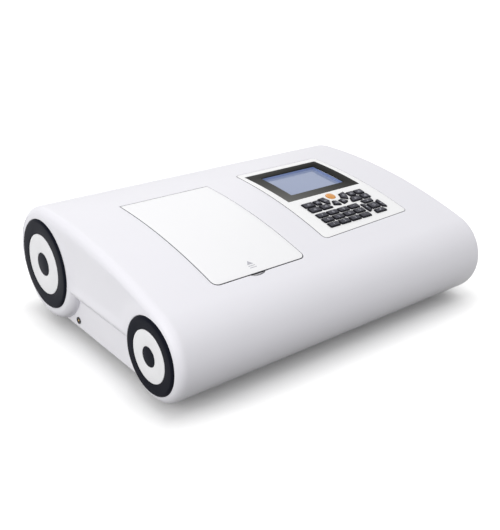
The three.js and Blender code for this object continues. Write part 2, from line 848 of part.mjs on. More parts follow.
// The navigation pad: a middle key, and four keys that share the frame round it.
function navigationOutlines() {
  const x = (navLeft + padRight) / 2;
  const y = (navTop + navBottom) / 2;
  const outX = (padRight - navLeft) / 2;
  const outY = (navTop - navBottom) / 2;
  const inX = navCentreWidth / 2;
  const inY = navCentreDepth / 2;
  const bandX = inX + navBand;
  const bandY = inY + navBand;
  const cut = navCornerCut;
  const slot = navCut;
  return {
    key_nav_centre: rectangle(x - inX, x + inX, y - inY, y + inY),
    key_nav_front: [
      [x - outX + cut + slot, y - outY], [x + outX - cut - slot, y - outY],
      [x + bandX - slot, y - bandY], [x - bandX + slot, y - bandY],
    ],
    key_nav_back: [
      [x - bandX + slot, y + bandY], [x + bandX - slot, y + bandY],
      [x + outX - cut - slot, y + outY], [x - outX + cut + slot, y + outY],
    ],
    key_nav_left: [
      [x - bandX, y + bandY - slot], [x - outX, y + outY - cut],
      [x - outX, y - outY + cut], [x - bandX, y - bandY + slot],
    ],
    key_nav_right: [
      [x + bandX, y - bandY + slot], [x + outX, y - outY + cut],
      [x + outX, y + outY - cut], [x + bandX, y + bandY - slot],
    ],
  };
}

// One of the four bent keys round the button.
function ringSector([from, to]) {
  const start = Math.PI + THREE.MathUtils.degToRad(from);
  const end = Math.PI + THREE.MathUtils.degToRad(to);
  const outer = arc(buttonX, buttonY, ringOuter, start, end, sectorSteps);
  const inner = arc(buttonX, buttonY, ringInner, start, end, sectorSteps);
  return [...outer, ...inner.reverse()];
}

function keyRings() {
  const rings = {};
  const plain = { ...keyOutlines(), ...navigationOutlines() };
  for (const [name, corners] of Object.entries(plain)) {
    rings[name] = rounded(corners, keyCorner, keyCornerSteps);
  }
  ringSectors.forEach((sector, i) => {
    rings[`key_ring_${i + 1}`] = ringSector(sector);
  });
  const round = Math.PI * 2;
  rings.start_button = joined(arc(buttonX, buttonY, buttonRadius, 0, round, roundSides));
  return rings;
}

// A key: cap with bevelled edge, and the flange that holds it under the panel.
function key(ring) {
  const reach = Math.max(...ring.map((point) => Math.abs(point.y)));
  const middle = ring.reduce((sum, point) => sum + point.y, 0) / ring.length;
  const flangeTop = -(panelThickness + gap + crownSag(reach));
  const top = keyProud - crownSag(middle);
  const lip = grown(ring, keyLip);
  return solid(
    loft([
      { ring: lip, at: flangeUnder },
      { ring: lip, at: flangeTop },
      { ring, at: flangeTop },
      { ring, at: top - keyBevel },
      { ring: grown(ring, -keyBevel), at: top },
    ]),
    keypadPlane,
  );
}

function controlPanel(rings) {
  let panel = crownLayer(0, panelThickness).intersect(throughTop(panelPlan));
  const bezelPlan = rounded(rectangle(bezelLeft, bezelRight, bezelFront, bezelBack), 0);
  const seat = crownLayer(-overrun, bezelThickness + gap).intersect(throughTop(grown(bezelPlan, gap)));
  const screenHole = throughTop(grown(screenPlan(), screenFrame + gap));
  panel = panel.subtract(seat).subtract(screenHole);

  const board = boardMargin - bossInset;
  const low = boardTop + gap;
  for (const x of [padLeft - board, padRight + board]) {
    for (const y of [padBottom + bossInset, (padBottom + functionTop) / 2, functionTop - bossInset]) {
      const high = -panelThickness / 2 - crownSag(y);
      const shape = new THREE.CylinderGeometry(bossRadius, bossRadius, high - low, roundSides / 2);
      shape.rotateX(Math.PI / 2).translate(x, y, (low + high) / 2);
      panel = panel.add(solid(shape, keypadPlane));
    }
  }
  for (const ring of Object.values(rings)) {
    const hole = prism(grown(ring, keyClearance), boardTop, keyProud + overrun, keypadPlane);
    panel = panel.subtract(hole);
  }
  return panel;
}

function screenPlan() {
  return rounded(rectangle(screenLeft, screenRight, screenFront, screenBack), 0);
}

function displayBezel() {
  const plan = rounded(rectangle(bezelLeft, bezelRight, bezelFront, bezelBack), 0);
  const frame = throughTop(plan).subtract(throughTop(screenPlan()));
  return crownLayer(0, bezelThickness).intersect(frame);
}

// The screen's module lies against the panel's underside. Its thin frame stands up into the
// window, and the screen itself is the floor inside the frame.
function lcdScreen() {
  const middle = (screenFront + screenBack) / 2;
  const halfWidth = (screenRight - screenLeft) / 2;
  const halfDepth = (screenBack - screenFront) / 2;
  const at = place((screenLeft + screenRight) / 2, middle, crownHeight(middle), crownTilt(middle));
  const face = rounded(rectangle(-halfWidth, halfWidth, -halfDepth, halfDepth), 0);
  const frameTop = -(bezelThickness + gap + crownSag(halfDepth + screenFrame));
  const top = -(panelThickness + gap + crownSag(halfDepth + screenModuleMargin));
  return prism(grown(face, screenModuleMargin), top - screenModuleThickness, top, at)
    .add(prism(grown(face, screenFrame), top - gap, frameTop, at))
    .subtract(prism(face, -screenRecess, overrun, at));
}

// An end disc: a cap with a rounded edge, a recessed field and a raised hub.
function endDisc(side, drum) {
  const field = drum.disc * fieldShare;
  const hub = drum.disc * hubShare;
  const floor = discProud - fieldDepth;
  const flat = drum.disc - discBevel;
  const edge = new THREE.EllipseCurve(flat, 0, discBevel, discProud, 0, Math.PI / 2);
  const profile = [
    [0, gap - discSeat],
    [drum.disc, gap - discSeat],
    ...edge.getPoints(cornerSteps),
    [field, discProud],
    [field, floor],
    [hub, floor],
    [hub, discProud],
    [0, discProud],
  ];
  return turned(profile, discPlace(side, drum), discSides);
}

// The flat ring in the disc's field.
function discInlay(side, drum) {
  const outer = drum.disc * fieldShare - gap;
  const inner = drum.disc * hubShare + gap;
  const low = discProud - fieldDepth + gap;
  const high = low + inlayProud;
  const profile = [[outer, low], [outer, high], [inner, high], [inner, low], [outer, low]];
  return turned(profile, discPlace(side, drum), discSides);
}

function discPlace(side, drum) {
  return place(side * coverWidth / 2, drum.y, drum.z, 0, 0, -side * Math.PI / 2);
}

function sideJack() {
  const profile = [
    [0, -jackBody],
    [jackRadius, -jackBody],
    [jackRadius, gap],
    [jackFlangeRadius, gap],
    [jackFlangeRadius, gap + jackFace],
    [jackBore, gap + jackFace],
    [jackBore, -jackBody / 2],
    [jackPin, -jackBody / 2],
    [jackPin, 0],
    [0, 0],
  ];
  return turned(profile, place(-innerX, jackY, jackZ, 0, 0, Math.PI / 2));
}

// Rear panel: a steel plate behind the collar, with cut-outs for what it carries.
function rearPanel() {
  const back = rearPanelFace - rearSheet;
  let panel = box(
    windowLeft - rearOverlap, windowRight + rearOverlap, back, rearPanelFace,
    windowBottom - rearOverlap, windowTop + rearOverlap,
  );
  const cut = (left, right, low, high) => {
    panel = panel.subtract(box(left, right, back - overrun, rearPanelFace + overrun, low, high));
  };
  const half = inletWidth / 2 + gap;
  cut(inletX - half, inletX + half, inletBottom - gap, inletTop + gap);
  for (const [x, width, height] of [
    [dataX, dataWidth, dataHeight],
    [serialX, serialWidth, serialHeight],
  ]) {
    cut(x - width / 2 - gap, x + width / 2 + gap, portZ - height / 2 - gap, portZ + height / 2 + gap);
  }
  for (let i = 0; i < rearVentCount; i++) {
    const left = windowLeft + rearVentInset + i * rearVentPitch;
    cut(left, left + rearVentWidth, windowBottom + rearVentMargin, windowTop - rearVentMargin);
  }
  return panel;
}

// Inlet module: a flanged body with the socket's well, its three blades, and the switch's frame.
function mainsInlet() {
  const left = inletX - inletWidth / 2;
  const right = inletX + inletWidth / 2;
  const back = rearPanelFace - inletDepth;
  const face = rearPanelY + inletFlangeThickness;
  let body = box(left, right, back, rearPanelY, inletBottom, inletTop);
  body = body.add(
    box(
      left - inletFlange, right + inletFlange, rearPanelY, face,
      inletBottom - inletFlange, inletTop + inletFlange,
    ),
  );
  const wellX = socketWidth / 2;
  const wellFloor = face - socketDepth;
  const low = socketMiddle - socketHeight / 2;
  const high = socketMiddle + socketHeight / 2;
  body = body.subtract(box(inletX - wellX, inletX + wellX, wellFloor, face + overrun, low, high));
  for (const [shift, lift] of [[-bladePitch, -bladeLift], [bladePitch, -bladeLift], [0, bladeLift]]) {
    const x = inletX + shift;
    const z = socketMiddle + lift;
    body = body.add(
      box(
        x - bladeThickness / 2, x + bladeThickness / 2, wellFloor - overrun, face - bladeShort,
        z - bladeWidth / 2, z + bladeWidth / 2,
      ),
    );
  }
  const slotX = rockerWidth / 2 + rockerSideGap;
  const swing = Math.hypot(rockerHalfHeight, rockerPivotDepth + overrun) + gap;
  return body.subtract(
    box(
      inletX - slotX, inletX + slotX, face - rockerPivotDepth - rockerBack, face + overrun,
      rockerZ - swing, rockerZ + swing,
    ),
  );
}

// The rocker: two faces that meet at a shallow angle, over a round keel. It rests tipped one way.
function switchRocker() {
  const tip = rockerPivotDepth + overrun / 2;
  const dip = tip - rockerHalfHeight * Math.tan(THREE.MathUtils.degToRad(rockerTilt));
  const keel = rockerThickness;
  const ring = [
    [-keel, -rockerHalfHeight / 2], [dip - overrun, -rockerHalfHeight], [tip, -rockerHalfHeight],
    [dip, 0], [tip, rockerHalfHeight], [dip - overrun, rockerHalfHeight], [-keel, rockerHalfHeight / 2],
  ].map(([y, z]) => new THREE.Vector2(y, z));
  const tilt = THREE.MathUtils.degToRad(-rockerTilt);
  const matrix = place(inletX, rockerY, rockerZ, tilt).multiply(alongX);
  return prism(ring, -rockerWidth / 2, rockerWidth / 2, matrix);
}

// Main board: stands behind the rear panel, with two socket shells and the supply's parts on it.
function mainBoard() {
  const low = windowBottom;
  const high = windowTop;
  const back = mainBoardY + mainBoardThickness;
  let board = box(mainBoardLeft, mainBoardRight, mainBoardY, back, low, high);
  const shell = (x, width, height) => {
    const left = x - width / 2;
    const right = x + width / 2;
    const under = portZ - height / 2;
    const over = portZ + height / 2;
    const outer = box(left, right, mainBoardY, rearPanelY, under, over);
    const well = box(
      left + socketWall, right - socketWall, rearPanelY - portDepth, rearPanelY + overrun,
      under + socketWall, over - socketWall,
    );
    board = board.add(outer.subtract(well));
  };
  shell(dataX, dataWidth, dataHeight);
  shell(serialX, serialWidth, serialHeight);
  const tongue = dataTongue / 2;
  board = board.add(
    box(
      dataX - tongue, dataX + tongue, rearPanelY - portDepth - socketWall, rearPanelY - socketWall,
      portZ - tongue, portZ + tongue,
    ),
  );
  const half = supplyBlock / 2;
  for (const x of [serialX, dataX]) {
    board = board.add(box(x - half, x + half, mainBoardY - supplyBlock, mainBoardY, low + half, high - half));
  }
  return board;
}

// Sample chamber: a tub whose rim follows the crown under the lid, on a skirt down to the pan.
function sampleChamber() {
  const rim = lidThickness + gap + ledgeThickness + gap;
  const under = panFloor + gap;
  const block = box(chamberLeft, chamberRight, chamberFront, chamberBack, under, crownTop);
  let tub = block.intersect(bodyForm(rim, rim, innerRimSteps));
  const inside = [
    chamberLeft + chamberWall, chamberRight - chamberWall, insideFront, insideFront + insideDepth,
  ];
  tub = tub.subtract(box(...inside, chamberFloor, crownTop));
  tub = tub.subtract(box(...inside, under - overrun, chamberFloor - chamberFloorThickness));
  for (const y of [sampleBeamY, referenceBeamY]) {
    const beam = barX(beamRadius, chamberLeft - overrun, chamberRight + overrun, y, beamHeight);
    tub = tub.subtract(beam);
  }
  const apron = crownHeight(hingeY) - apronDepth;
  const back = lidBack + apronReach;
  return tub.add(
    box(chamberLeft, chamberRight, insideFront + insideDepth, back, apron - chamberWall, apron),
  );
}

// Cell holder: a bar with two square sockets, open at the sides for the beams.
function cellHolder() {
  const floor = chamberFloor + gap;
  const half = cellSize / 2 + cellWall;
  const barTop = floor + holderBarHeight;
  const front = sampleBeamY - half - holderBarEnd;
  const back = referenceBeamY + half + holderBarEnd;
  const barHalf = holderBarWidth / 2;
  let holder = box(lidMiddle - barHalf, lidMiddle + barHalf, front, back, floor, barTop);
  for (const y of [sampleBeamY, referenceBeamY]) {
    const post = box(lidMiddle - half, lidMiddle + half, y - half, y + half, floor, cellTop);
    const cell = cellSize / 2;
    const well = box(
      lidMiddle - cell, lidMiddle + cell, y - cell, y + cell,
      barTop + cellFloorThickness, cellTop + overrun,
    );
    const window = box(
      lidMiddle - half - overrun, lidMiddle + half + overrun,
      y - cellWindowWidth / 2, y + cellWindowWidth / 2, cellWindowLow, cellWindowHigh,
    );
    holder = holder.add(post).subtract(well).subtract(window);
  }
  return holder;
}

// Monochromator: a cast case with a slanting back corner, a lidded top and two beam tubes.
function monochromator() {
  const left = chamberRight + caseClear;
  const under = panFloor + gap;
  const plan = rounded([
    [left, monoFront], [monoRight - monoCut, monoFront], [monoRight, monoFront + monoCut],
    [monoRight, monoBack], [left, monoBack],
  ], caseLip);
  const lidLow = monoTop - caseLipHeight;
  let body = prism(plan, under, lidLow + gap).add(prism(grown(plan, caseLip), lidLow, monoTop));
  const tubeEnd = chamberRight + gap;
  for (const y of [sampleBeamY, referenceBeamY]) {
    const tube = barX(beamRadius + tubeWall, tubeEnd, left + overrun, y, beamHeight);
    body = body.add(tube).subtract(barX(beamRadius, tubeEnd - overrun, left + lensDepth, y, beamHeight));
  }
  return body;
}

// Detector housing: a box with a stepped top and two lens wells that face the chamber.
function detectorHousing() {
  const right = chamberLeft - caseClear;
  const under = panFloor + gap;
  const tubeEnd = chamberLeft - gap;
  const plan = rounded(rectangle(detectorLeft, right, detectorFront, detectorBack), caseLip);
  const lidLow = detectorTop - caseLipHeight;
  let body = prism(plan, under, detectorTop).subtract(
    prism(grown(plan, overrun), lidLow, detectorTop + overrun),
  );
  body = body.add(prism(grown(plan, -caseLip), lidLow - gap, detectorTop));
  for (const y of [sampleBeamY, referenceBeamY]) {
    const tube = barX(beamRadius + tubeWall, right - overrun, tubeEnd, y, beamHeight);
    body = body.add(tube).subtract(barX(beamRadius, right - lensDepth, tubeEnd + overrun, y, beamHeight));
  }
  return body;
}

// Lamp house: a block with cooling fins across its top.
function lampHouse() {
  const under = panFloor + gap;
  let body = box(lampLeft, lampRight, lampFront, lampBack, under, lampTop);
  const pitch = (lampBack - lampFront - finThickness) / (finCount - 1);
  for (let i = 0; i + 1 < finCount; i++) {
    const front = lampFront + i * pitch + finThickness;
    const slot = box(
      lampLeft - overrun, lampRight + overrun, front, front + pitch - finThickness,
      lampTop - finHeight, lampTop + overrun,
    );
    body = body.subtract(slot);
  }
  return body;
}

// The assembly
addPiece("top_cover", topCover(), white);
addPiece("base_pan", basePan(), white);
addPiece("sample_lid", sampleLid(), white);
addPiece("lid_hinge_pin", barX(pinRadius, pinLeft, pinRight, hingeY, hingeZ), steel);

const rings = keyRings();
addPiece("control_panel", controlPanel(rings), white);
addPiece("display_bezel", displayBezel(), blackPlastic);
addPiece("lcd_screen", lcdScreen(), screenBlue);
addPiece("keypad_board", prism(boardPlan, boardTop - boardThickness, boardTop, keypadPlane), circuitGreen);
for (const [name, ring] of Object.entries(rings)) {
  addPiece(name, key(ring), name === "start_button" ? orange : slate);
}

for (const drum of drums) {
  for (const [side, sideName] of [[-1, "left"], [1, "right"]]) {
    addPiece(`${drum.name}_${sideName}_disc`, endDisc(side, drum), slate);
    addPiece(`${drum.name}_${sideName}_inlay`, discInlay(side, drum), white);
  }
}

for (const [x, xName] of [[-footX, "left"], [footX, "right"]]) {
  for (const [y, yName] of [[frontY + footFrontMargin, "front"], [rearY - footBackMargin, "rear"]]) {
    addPiece(`foot_${yName}_${xName}`, foot(x, y), rubber);
  }
}

addPiece("side_jack", sideJack(), blackPlastic);
addPiece("rear_panel", rearPanel(), steel);
addPiece("mains_inlet", mainsInlet(), blackPlastic);
addPiece("switch_rocker", switchRocker(), blackPlastic);
addPiece("main_board", mainBoard(), circuitGreen);
addPiece("sample_chamber", sampleChamber(), blackPaint);
addPiece("cell_holder", cellHolder(), darkMetal);
addPiece("monochromator", monochromator(), castMetal);
addPiece("detector_housing", detectorHousing(), castMetal);
addPiece("lamp_house", lampHouse(), castMetal);

export default part;
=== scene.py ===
"""Double beam spectrophotometer: a white bench-top instrument with a moulded, drum-ended cover,
a lid over the sample chamber, and a keypad under its display. Metres, +Z up, front towards -Y."""

import bmesh
import bpy
import numpy as np
from mathutils import Matrix, Vector
from mathutils.geometry import delaunay_2d_cdt


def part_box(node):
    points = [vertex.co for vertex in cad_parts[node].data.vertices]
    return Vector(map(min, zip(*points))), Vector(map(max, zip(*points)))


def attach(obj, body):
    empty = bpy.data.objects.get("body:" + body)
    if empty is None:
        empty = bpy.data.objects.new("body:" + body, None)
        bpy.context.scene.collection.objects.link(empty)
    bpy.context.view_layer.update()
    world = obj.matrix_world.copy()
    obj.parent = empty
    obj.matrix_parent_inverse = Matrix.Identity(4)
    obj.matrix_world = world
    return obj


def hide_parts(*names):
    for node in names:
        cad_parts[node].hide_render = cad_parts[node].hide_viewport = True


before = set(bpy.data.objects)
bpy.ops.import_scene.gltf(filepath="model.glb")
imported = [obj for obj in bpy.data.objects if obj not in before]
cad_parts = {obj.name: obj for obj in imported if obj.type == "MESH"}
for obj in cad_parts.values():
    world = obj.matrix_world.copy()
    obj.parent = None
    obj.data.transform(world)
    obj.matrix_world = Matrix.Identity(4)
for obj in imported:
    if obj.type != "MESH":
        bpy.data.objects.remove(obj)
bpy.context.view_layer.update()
mm = 0.001
turn = np.pi / 2

# Top cover: one glossy white moulding, 3 mm thick, of two drums joined by a low crown, with
# round rims at both ends. It drops over the base pan, and is open under the lid and the panel.
half_width = 315 * mm
pocket_inset = 15 * mm
pocket_top = 76 * mm
rim_radius = 14 * mm
rear_drum = np.array([143, 104]) * mm
front_drum = np.array([-165, 82]) * mm
rear_radius, front_radius, crown_radius = 92 * mm, 70 * mm, 990 * mm


def unit(vector):
    """A vector (x, y) over its length."""
    return vector / np.hypot(*vector)


def arc_centre():
    """Centre of the crown: the point whose distances to the two drums' centres are the crown's radius
    less each drum's, by the law of cosines."""
    to_rear, to_front = crown_radius - rear_radius, crown_radius - front_radius
    span = front_drum - rear_drum
    length = np.hypot(*span)
    along = (to_rear**2 - to_front**2 + length**2) / (2 * length)
    down = np.sqrt(to_rear**2 - along**2)
    ahead = unit(span)
    return rear_drum + ahead * along + np.array([-ahead[1], ahead[0]]) * down


crown = arc_centre()
rear_tangent = np.arctan2(*(rear_drum - crown)[::-1])
front_tangent = np.arctan2(*(front_drum - crown)[::-1])
arc_centres = np.array([front_drum, crown, rear_drum])
arc_radii = np.array([front_radius, crown_radius, rear_radius])
arc_starts = np.array([3 * turn, front_tangent, rear_tangent])
arc_ends = np.array([front_tangent, rear_tangent, -turn])
lengths = np.concatenate([[0], np.cumsum(arc_radii * (arc_starts - arc_ends))])


def over_cover(points, depth=0.0):
    """Points (x, s) set on the cover: s walks three arcs that meet without a corner, up the front
    drum, over the crown and down the rear drum. The depth comes off the arc's radius."""
    x, s = points.T
    which = np.clip(np.searchsorted(lengths, s) - 1, 0, 2)
    angle = arc_starts[which] - (s - lengths[which]) / arc_radii[which]
    radius = arc_radii[which] - depth
    y, z = arc_centres[which].T
    return np.column_stack([x, y + radius * np.cos(angle), z + radius * np.sin(angle)])


def along_crown(y):
    """How far along the side profile the crown has a given y."""
    return lengths[1] + crown_radius * (front_tangent - np.arccos((y - crown[0]) / crown_radius))


def arc(centre, radius, start, end, steps):
    """The centre plus the radius times the cosine and sine of evenly spaced angles."""
    angle = np.linspace(start, end, steps + 1)
    return centre + radius * np.column_stack([np.cos(angle), np.sin(angle)])


def circle(centre, radius, steps):
    """A closed ring of points."""
    return arc(centre, radius, 0, 4 * turn, steps)[:-1]


def loop_of(corners, radius, step=8 * mm, turns=6):
    """A closed loop with round corners: each corner is an arc that touches both its sides, and the
    straights between arcs are divided evenly."""
    corners = np.array(corners, float)
    radii = np.broadcast_to(radius, len(corners))
    runs = []
    for corner, before, after, r in zip(corners, np.roll(corners, 1, 0), np.roll(corners, -1, 0), radii):
        back, on = unit(before - corner), unit(after - corner)
        half = np.arccos(back @ on) / 2
        middle = unit(back + on)
        start = back * r / np.tan(half) - middle * r / np.sin(half)
        angle = np.arctan2(start[1], start[0])
        outward = np.sign(on[0] * back[1] - on[1] * back[0])
        sweep = outward * (np.pi - 2 * half)
        runs.append(arc(corner + middle * r / np.sin(half), r, angle, angle + sweep, turns))
    joined = []
    for run, following in zip(runs, runs[1:] + runs[:1]):
        count = int(np.hypot(*(following[0] - run[-1])) / step)
        share = np.arange(1, count + 1)[:, None] / (count + 1)
        joined += [run, run[-1] + share * (following[0] - run[-1])]
    return np.vstack(joined)


def box_loop(left, right, low, high, radius, step=8 * mm):
    """A rectangle with round corners, anticlockwise."""
    return loop_of([(left, low), (right, low), (right, high), (left, high)], radius, step)


def crown_box(left, right, front, back, radius):
    """A rectangle on the crown, whose front and back are given as y."""
    return box_loop(left, right, along_crown(front), along_crown(back), radius)


def grown(loop, by):
    """A loop with its sides moved outwards: each point moves along the sum of its two sides'
    normals over one plus their dot product."""
    before, after = loop - np.roll(loop, 1, 0), np.roll(loop, -1, 0) - loop
    normals = [np.column_stack([d[:, 1], -d[:, 0]]) / np.hypot(*d.T)[:, None] for d in (before, after)]
    mitre = (normals[0] + normals[1]) / (1 + (normals[0] * normals[1]).sum(1))[:, None]
    return loop + mitre * by


def within(points, loop):
    """True where a point lies in a loop: a level line from it crosses the loop an odd number of times."""
    x, y = points.T[:, :, None]
    (x0, y0), (x1, y1) = loop.T, np.roll(loop, -1, 0).T
    rise = np.where(y1 == y0, 1, y1 - y0)
    crossed = ((y0 > y) != (y1 > y)) & (x < x0 + (y - y0) * (x1 - x0) / rise)
    return crossed.sum(1) % 2 == 1


def apart(points, others):
    """Each point's distance to the nearest of the others."""
    return np.sqrt(((points[:, None] - others[None]) ** 2).sum(2).min(1))


def ladder(rings, flip=False):
    """Closed rings of equal counts of points joined by four-sided faces, ring to ring."""
    rings = np.array(rings)
    count = rings.shape[1]
    i = np.arange(count)
    j = (i + 1) % count
    rows = np.arange(len(rings) - 1)[:, None] * count
    faces = np.stack([rows + i, rows + j, rows + count + j, rows + count + i], -1).reshape(-1, 4)
    return rings.reshape(-1, 3), faces[:, ::-1] if flip else faces


def lattice(x, y):
    """All points with one of the x values and one of the y values."""
    return np.stack(np.meshgrid(x, y), -1).reshape(-1, 2)


def skin(put, border, holes, points, clear=2 * mm, roll_steps=4, wall_finish=0, rim_finish=0):
    """A smooth face with rolled edges. The flat region inside the border and outside the holes is
    triangulated between its loops and the given points, and put() sets it on the form. Each loop
    comes as (points, roll, wall): a quarter circle of radius roll turns down into a wall that
    deep. The walls have a finish of their own, and so has the border's roll."""
    rings, loops = [], [border, *holes]
    for k, (loop, roll, wall) in enumerate(loops):
        ring = grown(loop, roll if k else -roll) if roll else loop
        points = points[within(points, ring) == (k == 0)]
        points = points[apart(points, ring) > clear]
        rings.append(ring)
    flat = np.vstack(rings + [points])
    sides, start = [], 0
    for ring in rings:
        i = np.arange(len(ring))
        sides += np.column_stack([start + i, start + (i + 1) % len(ring)]).tolist()
        start += len(ring)
    made = delaunay_2d_cdt([Vector(p) for p in flat], sides, [], 0, 1e-9, False)
    flat, faces = np.array(made[0]), np.array(made[2])
    middle = flat[faces].mean(1)
    keep = within(middle, rings[0])
    for ring in rings[1:]:
        keep &= ~within(middle, ring)
    patches = [(put(flat, 0.0), faces[keep])]
    for k, (loop, roll, wall) in enumerate(loops):
        if roll:
            side = roll if k else -roll
            angle = np.linspace(0, turn, roll_steps + 1)
            rolled = [put(grown(loop, side * (1 - np.sin(a))), roll * (1 - np.cos(a))) for a in angle]
            patches.append((*ladder(rolled, flip=not k), 0 if k else rim_finish))
            patches.append((*ladder([put(loop, roll), put(loop, wall)], flip=not k), wall_finish))
    return patches


def read(parts, field, kind=np.float32):
    """A field of three values of all of a mesh's parts."""
    values = np.empty(len(parts) * 3, kind)
    parts.foreach_get(field, values)
    return values.reshape(-1, 3)


def node_triangles(name):
    """A CAD node's triangles: an array of three corners each."""
    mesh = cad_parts[name].data
    mesh.calc_loop_triangles()
    return read(mesh.vertices, "co").astype(float)[read(mesh.loop_triangles, "vertices", np.int32)]


def as_patch(triangles):
    """Loose triangles as points and faces."""
    return triangles.reshape(-1, 3), np.arange(len(triangles) * 3).reshape(-1, 3)


def one_face(points):
    """A patch of a single face with the points as its corners."""
    return points, np.arange(len(points))[None]


def new_object(name, data):
    """An object at the origin in the scene's collection."""
    made = bpy.data.objects.new(name, data)
    bpy.context.scene.collection.objects.link(made)
    return made


crease = np.radians(32)


def piece(name, patches, finishes, body="housing", nodes=(), weld=0.02 * mm):
    """A mesh from patches, each of points, faces and, where there are several finishes, the finish's
    number. Equal points are welded, and edges stay sharp past the crease angle."""
    mesh = bpy.data.meshes.new(name)
    faces, numbers, start = [], [], 0
    for patch in patches:
        faces += (patch[1] + start).tolist()
        numbers += [patch[2] if len(patch) > 2 else 0] * len(patch[1])
        start += len(patch[0])
    mesh.from_pydata(np.vstack([patch[0] for patch in patches]), [], faces)
    mesh.polygons.foreach_set("material_index", np.array(numbers, np.int32))
    shape = bmesh.new()
    shape.from_mesh(mesh)
    bmesh.ops.remove_doubles(shape, verts=shape.verts, dist=weld)
    bmesh.ops.dissolve_degenerate(shape, edges=shape.edges, dist=weld / 4)
    shape.to_mesh(mesh)
    shape.free()
    for finish in finishes if isinstance(finishes, list) else [finishes]:
        mesh.materials.append(finish)
    mesh.shade_smooth()
    mesh.set_sharp_from_angle(angle=crease)
    made = new_object(name, mesh)
    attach(made, body)
    if nodes:
        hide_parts(*nodes)
    return made


def feed(tree, node, *values, **sockets):
    """Gives a node's inputs, in order or by name, a value or a link from another socket."""
    named = [(node.inputs[name.replace("_", " ")], value) for name, value in sockets.items()]
    for socket, value in [*zip(node.inputs, values), *named]:
        if isinstance(value, bpy.types.NodeSocket):
            tree.links.new(value, socket)
        else:
            socket.default_value = value
    return node


def add(tree, kind, fields=None, *values, **sockets):
    """A new shader node: fields are set on it, and its inputs are fed."""
    made = tree.nodes.new("ShaderNode" + kind)
    for field, value in (fields or {}).items():
        setattr(made, field, value)
    return feed(tree, made, *values, **sockets)


# The grain of a surface: a fine noise for its height, a broad one for its tone, and the handling
# marks between them, which are noise stretched into faint smears.
grain = bpy.data.node_groups.new("surface_grain", "ShaderNodeTree")
for way, titles in (("INPUT", ("Fine", "Broad", "Smears")), ("OUTPUT", ("Height", "Tone", "Marks"))):
    for title in titles:
        grain.interface.new_socket(title, in_out=way, socket_type="NodeSocketFloat")
given, result = grain.nodes.new("NodeGroupInput"), grain.nodes.new("NodeGroupOutput")
place = add(grain, "TexCoord").outputs["Object"]
stretched = add(grain, "Mapping", Vector=place, Scale=(1, 2.4, 1.6)).outputs[0]
for title, scale, source, detail, rough in (
    ("Height", "Fine", place, 2, 0.5), ("Tone", "Broad", place, 3, 0.55),
    ("Marks", "Smears", stretched, 1, 0.4),
):
    noise = add(grain, "TexNoise", Vector=source, Scale=given.outputs[scale], Detail=detail, Roughness=rough)
    feed(grain, result, **{title: noise.outputs[0]})


def linear(red, green, blue):
    """A screen colour of 0 to 255 as linear light."""
    c = np.array([red, green, blue]) / 255
    return (*np.where(c > 0.04045, ((c + 0.055) / 1.055) ** 2.4, c / 12.92), 1.0)


def finish_of(name, colour, rough, bump, fine=900, broad=9, smears=18, shift=0.05, **fixed):
    """A material of one colour whose tone, gloss and height follow the grain: the colour drops by the
    shift where the broad noise is low, and the roughness runs from rough[0] to rough[1]."""
    made = bpy.data.materials.new(name)
    made.use_nodes = True
    tree = made.node_tree
    surface = add(tree, "Group", {"node_tree": grain}, Fine=fine, Broad=broad, Smears=smears)
    base = linear(*colour)
    tones = add(tree, "ValToRGB", Fac=surface.outputs["Tone"])
    dim, full = tones.color_ramp.elements
    dim.position, full.position = 0.3, 0.7
    dim.color, full.color = (*(c * (1 - shift) for c in base[:3]), 1), base
    gloss = add(tree, "MapRange", Value=surface.outputs["Marks"], To_Min=rough[0], To_Max=rough[1])
    relief = add(tree, "Bump", Height=surface.outputs["Height"], Strength=1.0, Distance=bump)
    looks = dict(Base_Color=tones.outputs[0], Roughness=gloss.outputs[0], Normal=relief.outputs[0])
    feed(tree, tree.nodes["Principled BSDF"], **looks, **fixed)
    return made


white_gloss = finish_of("white_moulding", (241, 240, 246), (0.28, 0.32), 0.003 * mm, fine=450, shift=0.012)
# The walls of the cover's openings are painted a mid grey: painted shade in the seams.
seam_painted_shade = finish_of("seam_painted_shade", (96, 96, 102), (0.5, 0.6), 0.004 * mm)
# The finger scoop's hollow is painted grey: painted shade.
scoop_painted_shade = finish_of("scoop_painted_shade", (112, 112, 118), (0.5, 0.6), 0.004 * mm)

# The lid's and the panel's outlines in plan give the two openings, each with its own seam.
lid_left, lid_right, lid_front, lid_back = -207.98 * mm, -38.98 * mm, -165 * mm, 84 * mm
lid_side_seam, lid_end_seam, lid_corner = 0.7 * mm, 1.3 * mm, 10 * mm
panel_seam, panel_corner, plate = 0.6 * mm, 8 * mm, 3 * mm
panel_corners = np.array([(23.502, -142.5), (222.002, -136), (222.002, 99), (33.502, 99)]) * mm
panel_corners[:, 1] = along_crown(panel_corners[:, 1])
panel_loop = loop_of(panel_corners, panel_corner)
square_corner, edge_roll = 0.8 * mm, 0.5 * mm
seat_depth = plate + 0.3 * mm
lid_seat = crown_box(
    lid_left - lid_side_seam, lid_right + lid_side_seam, lid_front - lid_end_seam, lid_back + lid_end_seam,
    [lid_corner + lid_side_seam] * 2 + [square_corner] * 2,
)
panel_seat = grown(panel_loop, panel_seam)
window_left, window_right, window_low, window_high = 20 * mm, 270 * mm, 58 * mm, 134 * mm
window_corner, window_roll, window_wall, window_step = 1.2 * mm, 1 * mm, 2 * mm, 4 * mm
rear_angles = np.arcsin((np.array([window_high, window_low]) - rear_drum[1]) / rear_radius)
window_levels = lengths[2] + rear_radius * (rear_tangent - rear_angles)
rear_window = box_loop(window_left, window_right, *window_levels, window_corner, window_step)

# A finger scoop is let into the cover at the lid's front edge.
scoop_middle = np.array([-131.98 * mm, along_crown(lid_front - lid_end_seam)])
scoop_half = np.array([13, 5]) * mm
scoop_depth = 3.4 * mm


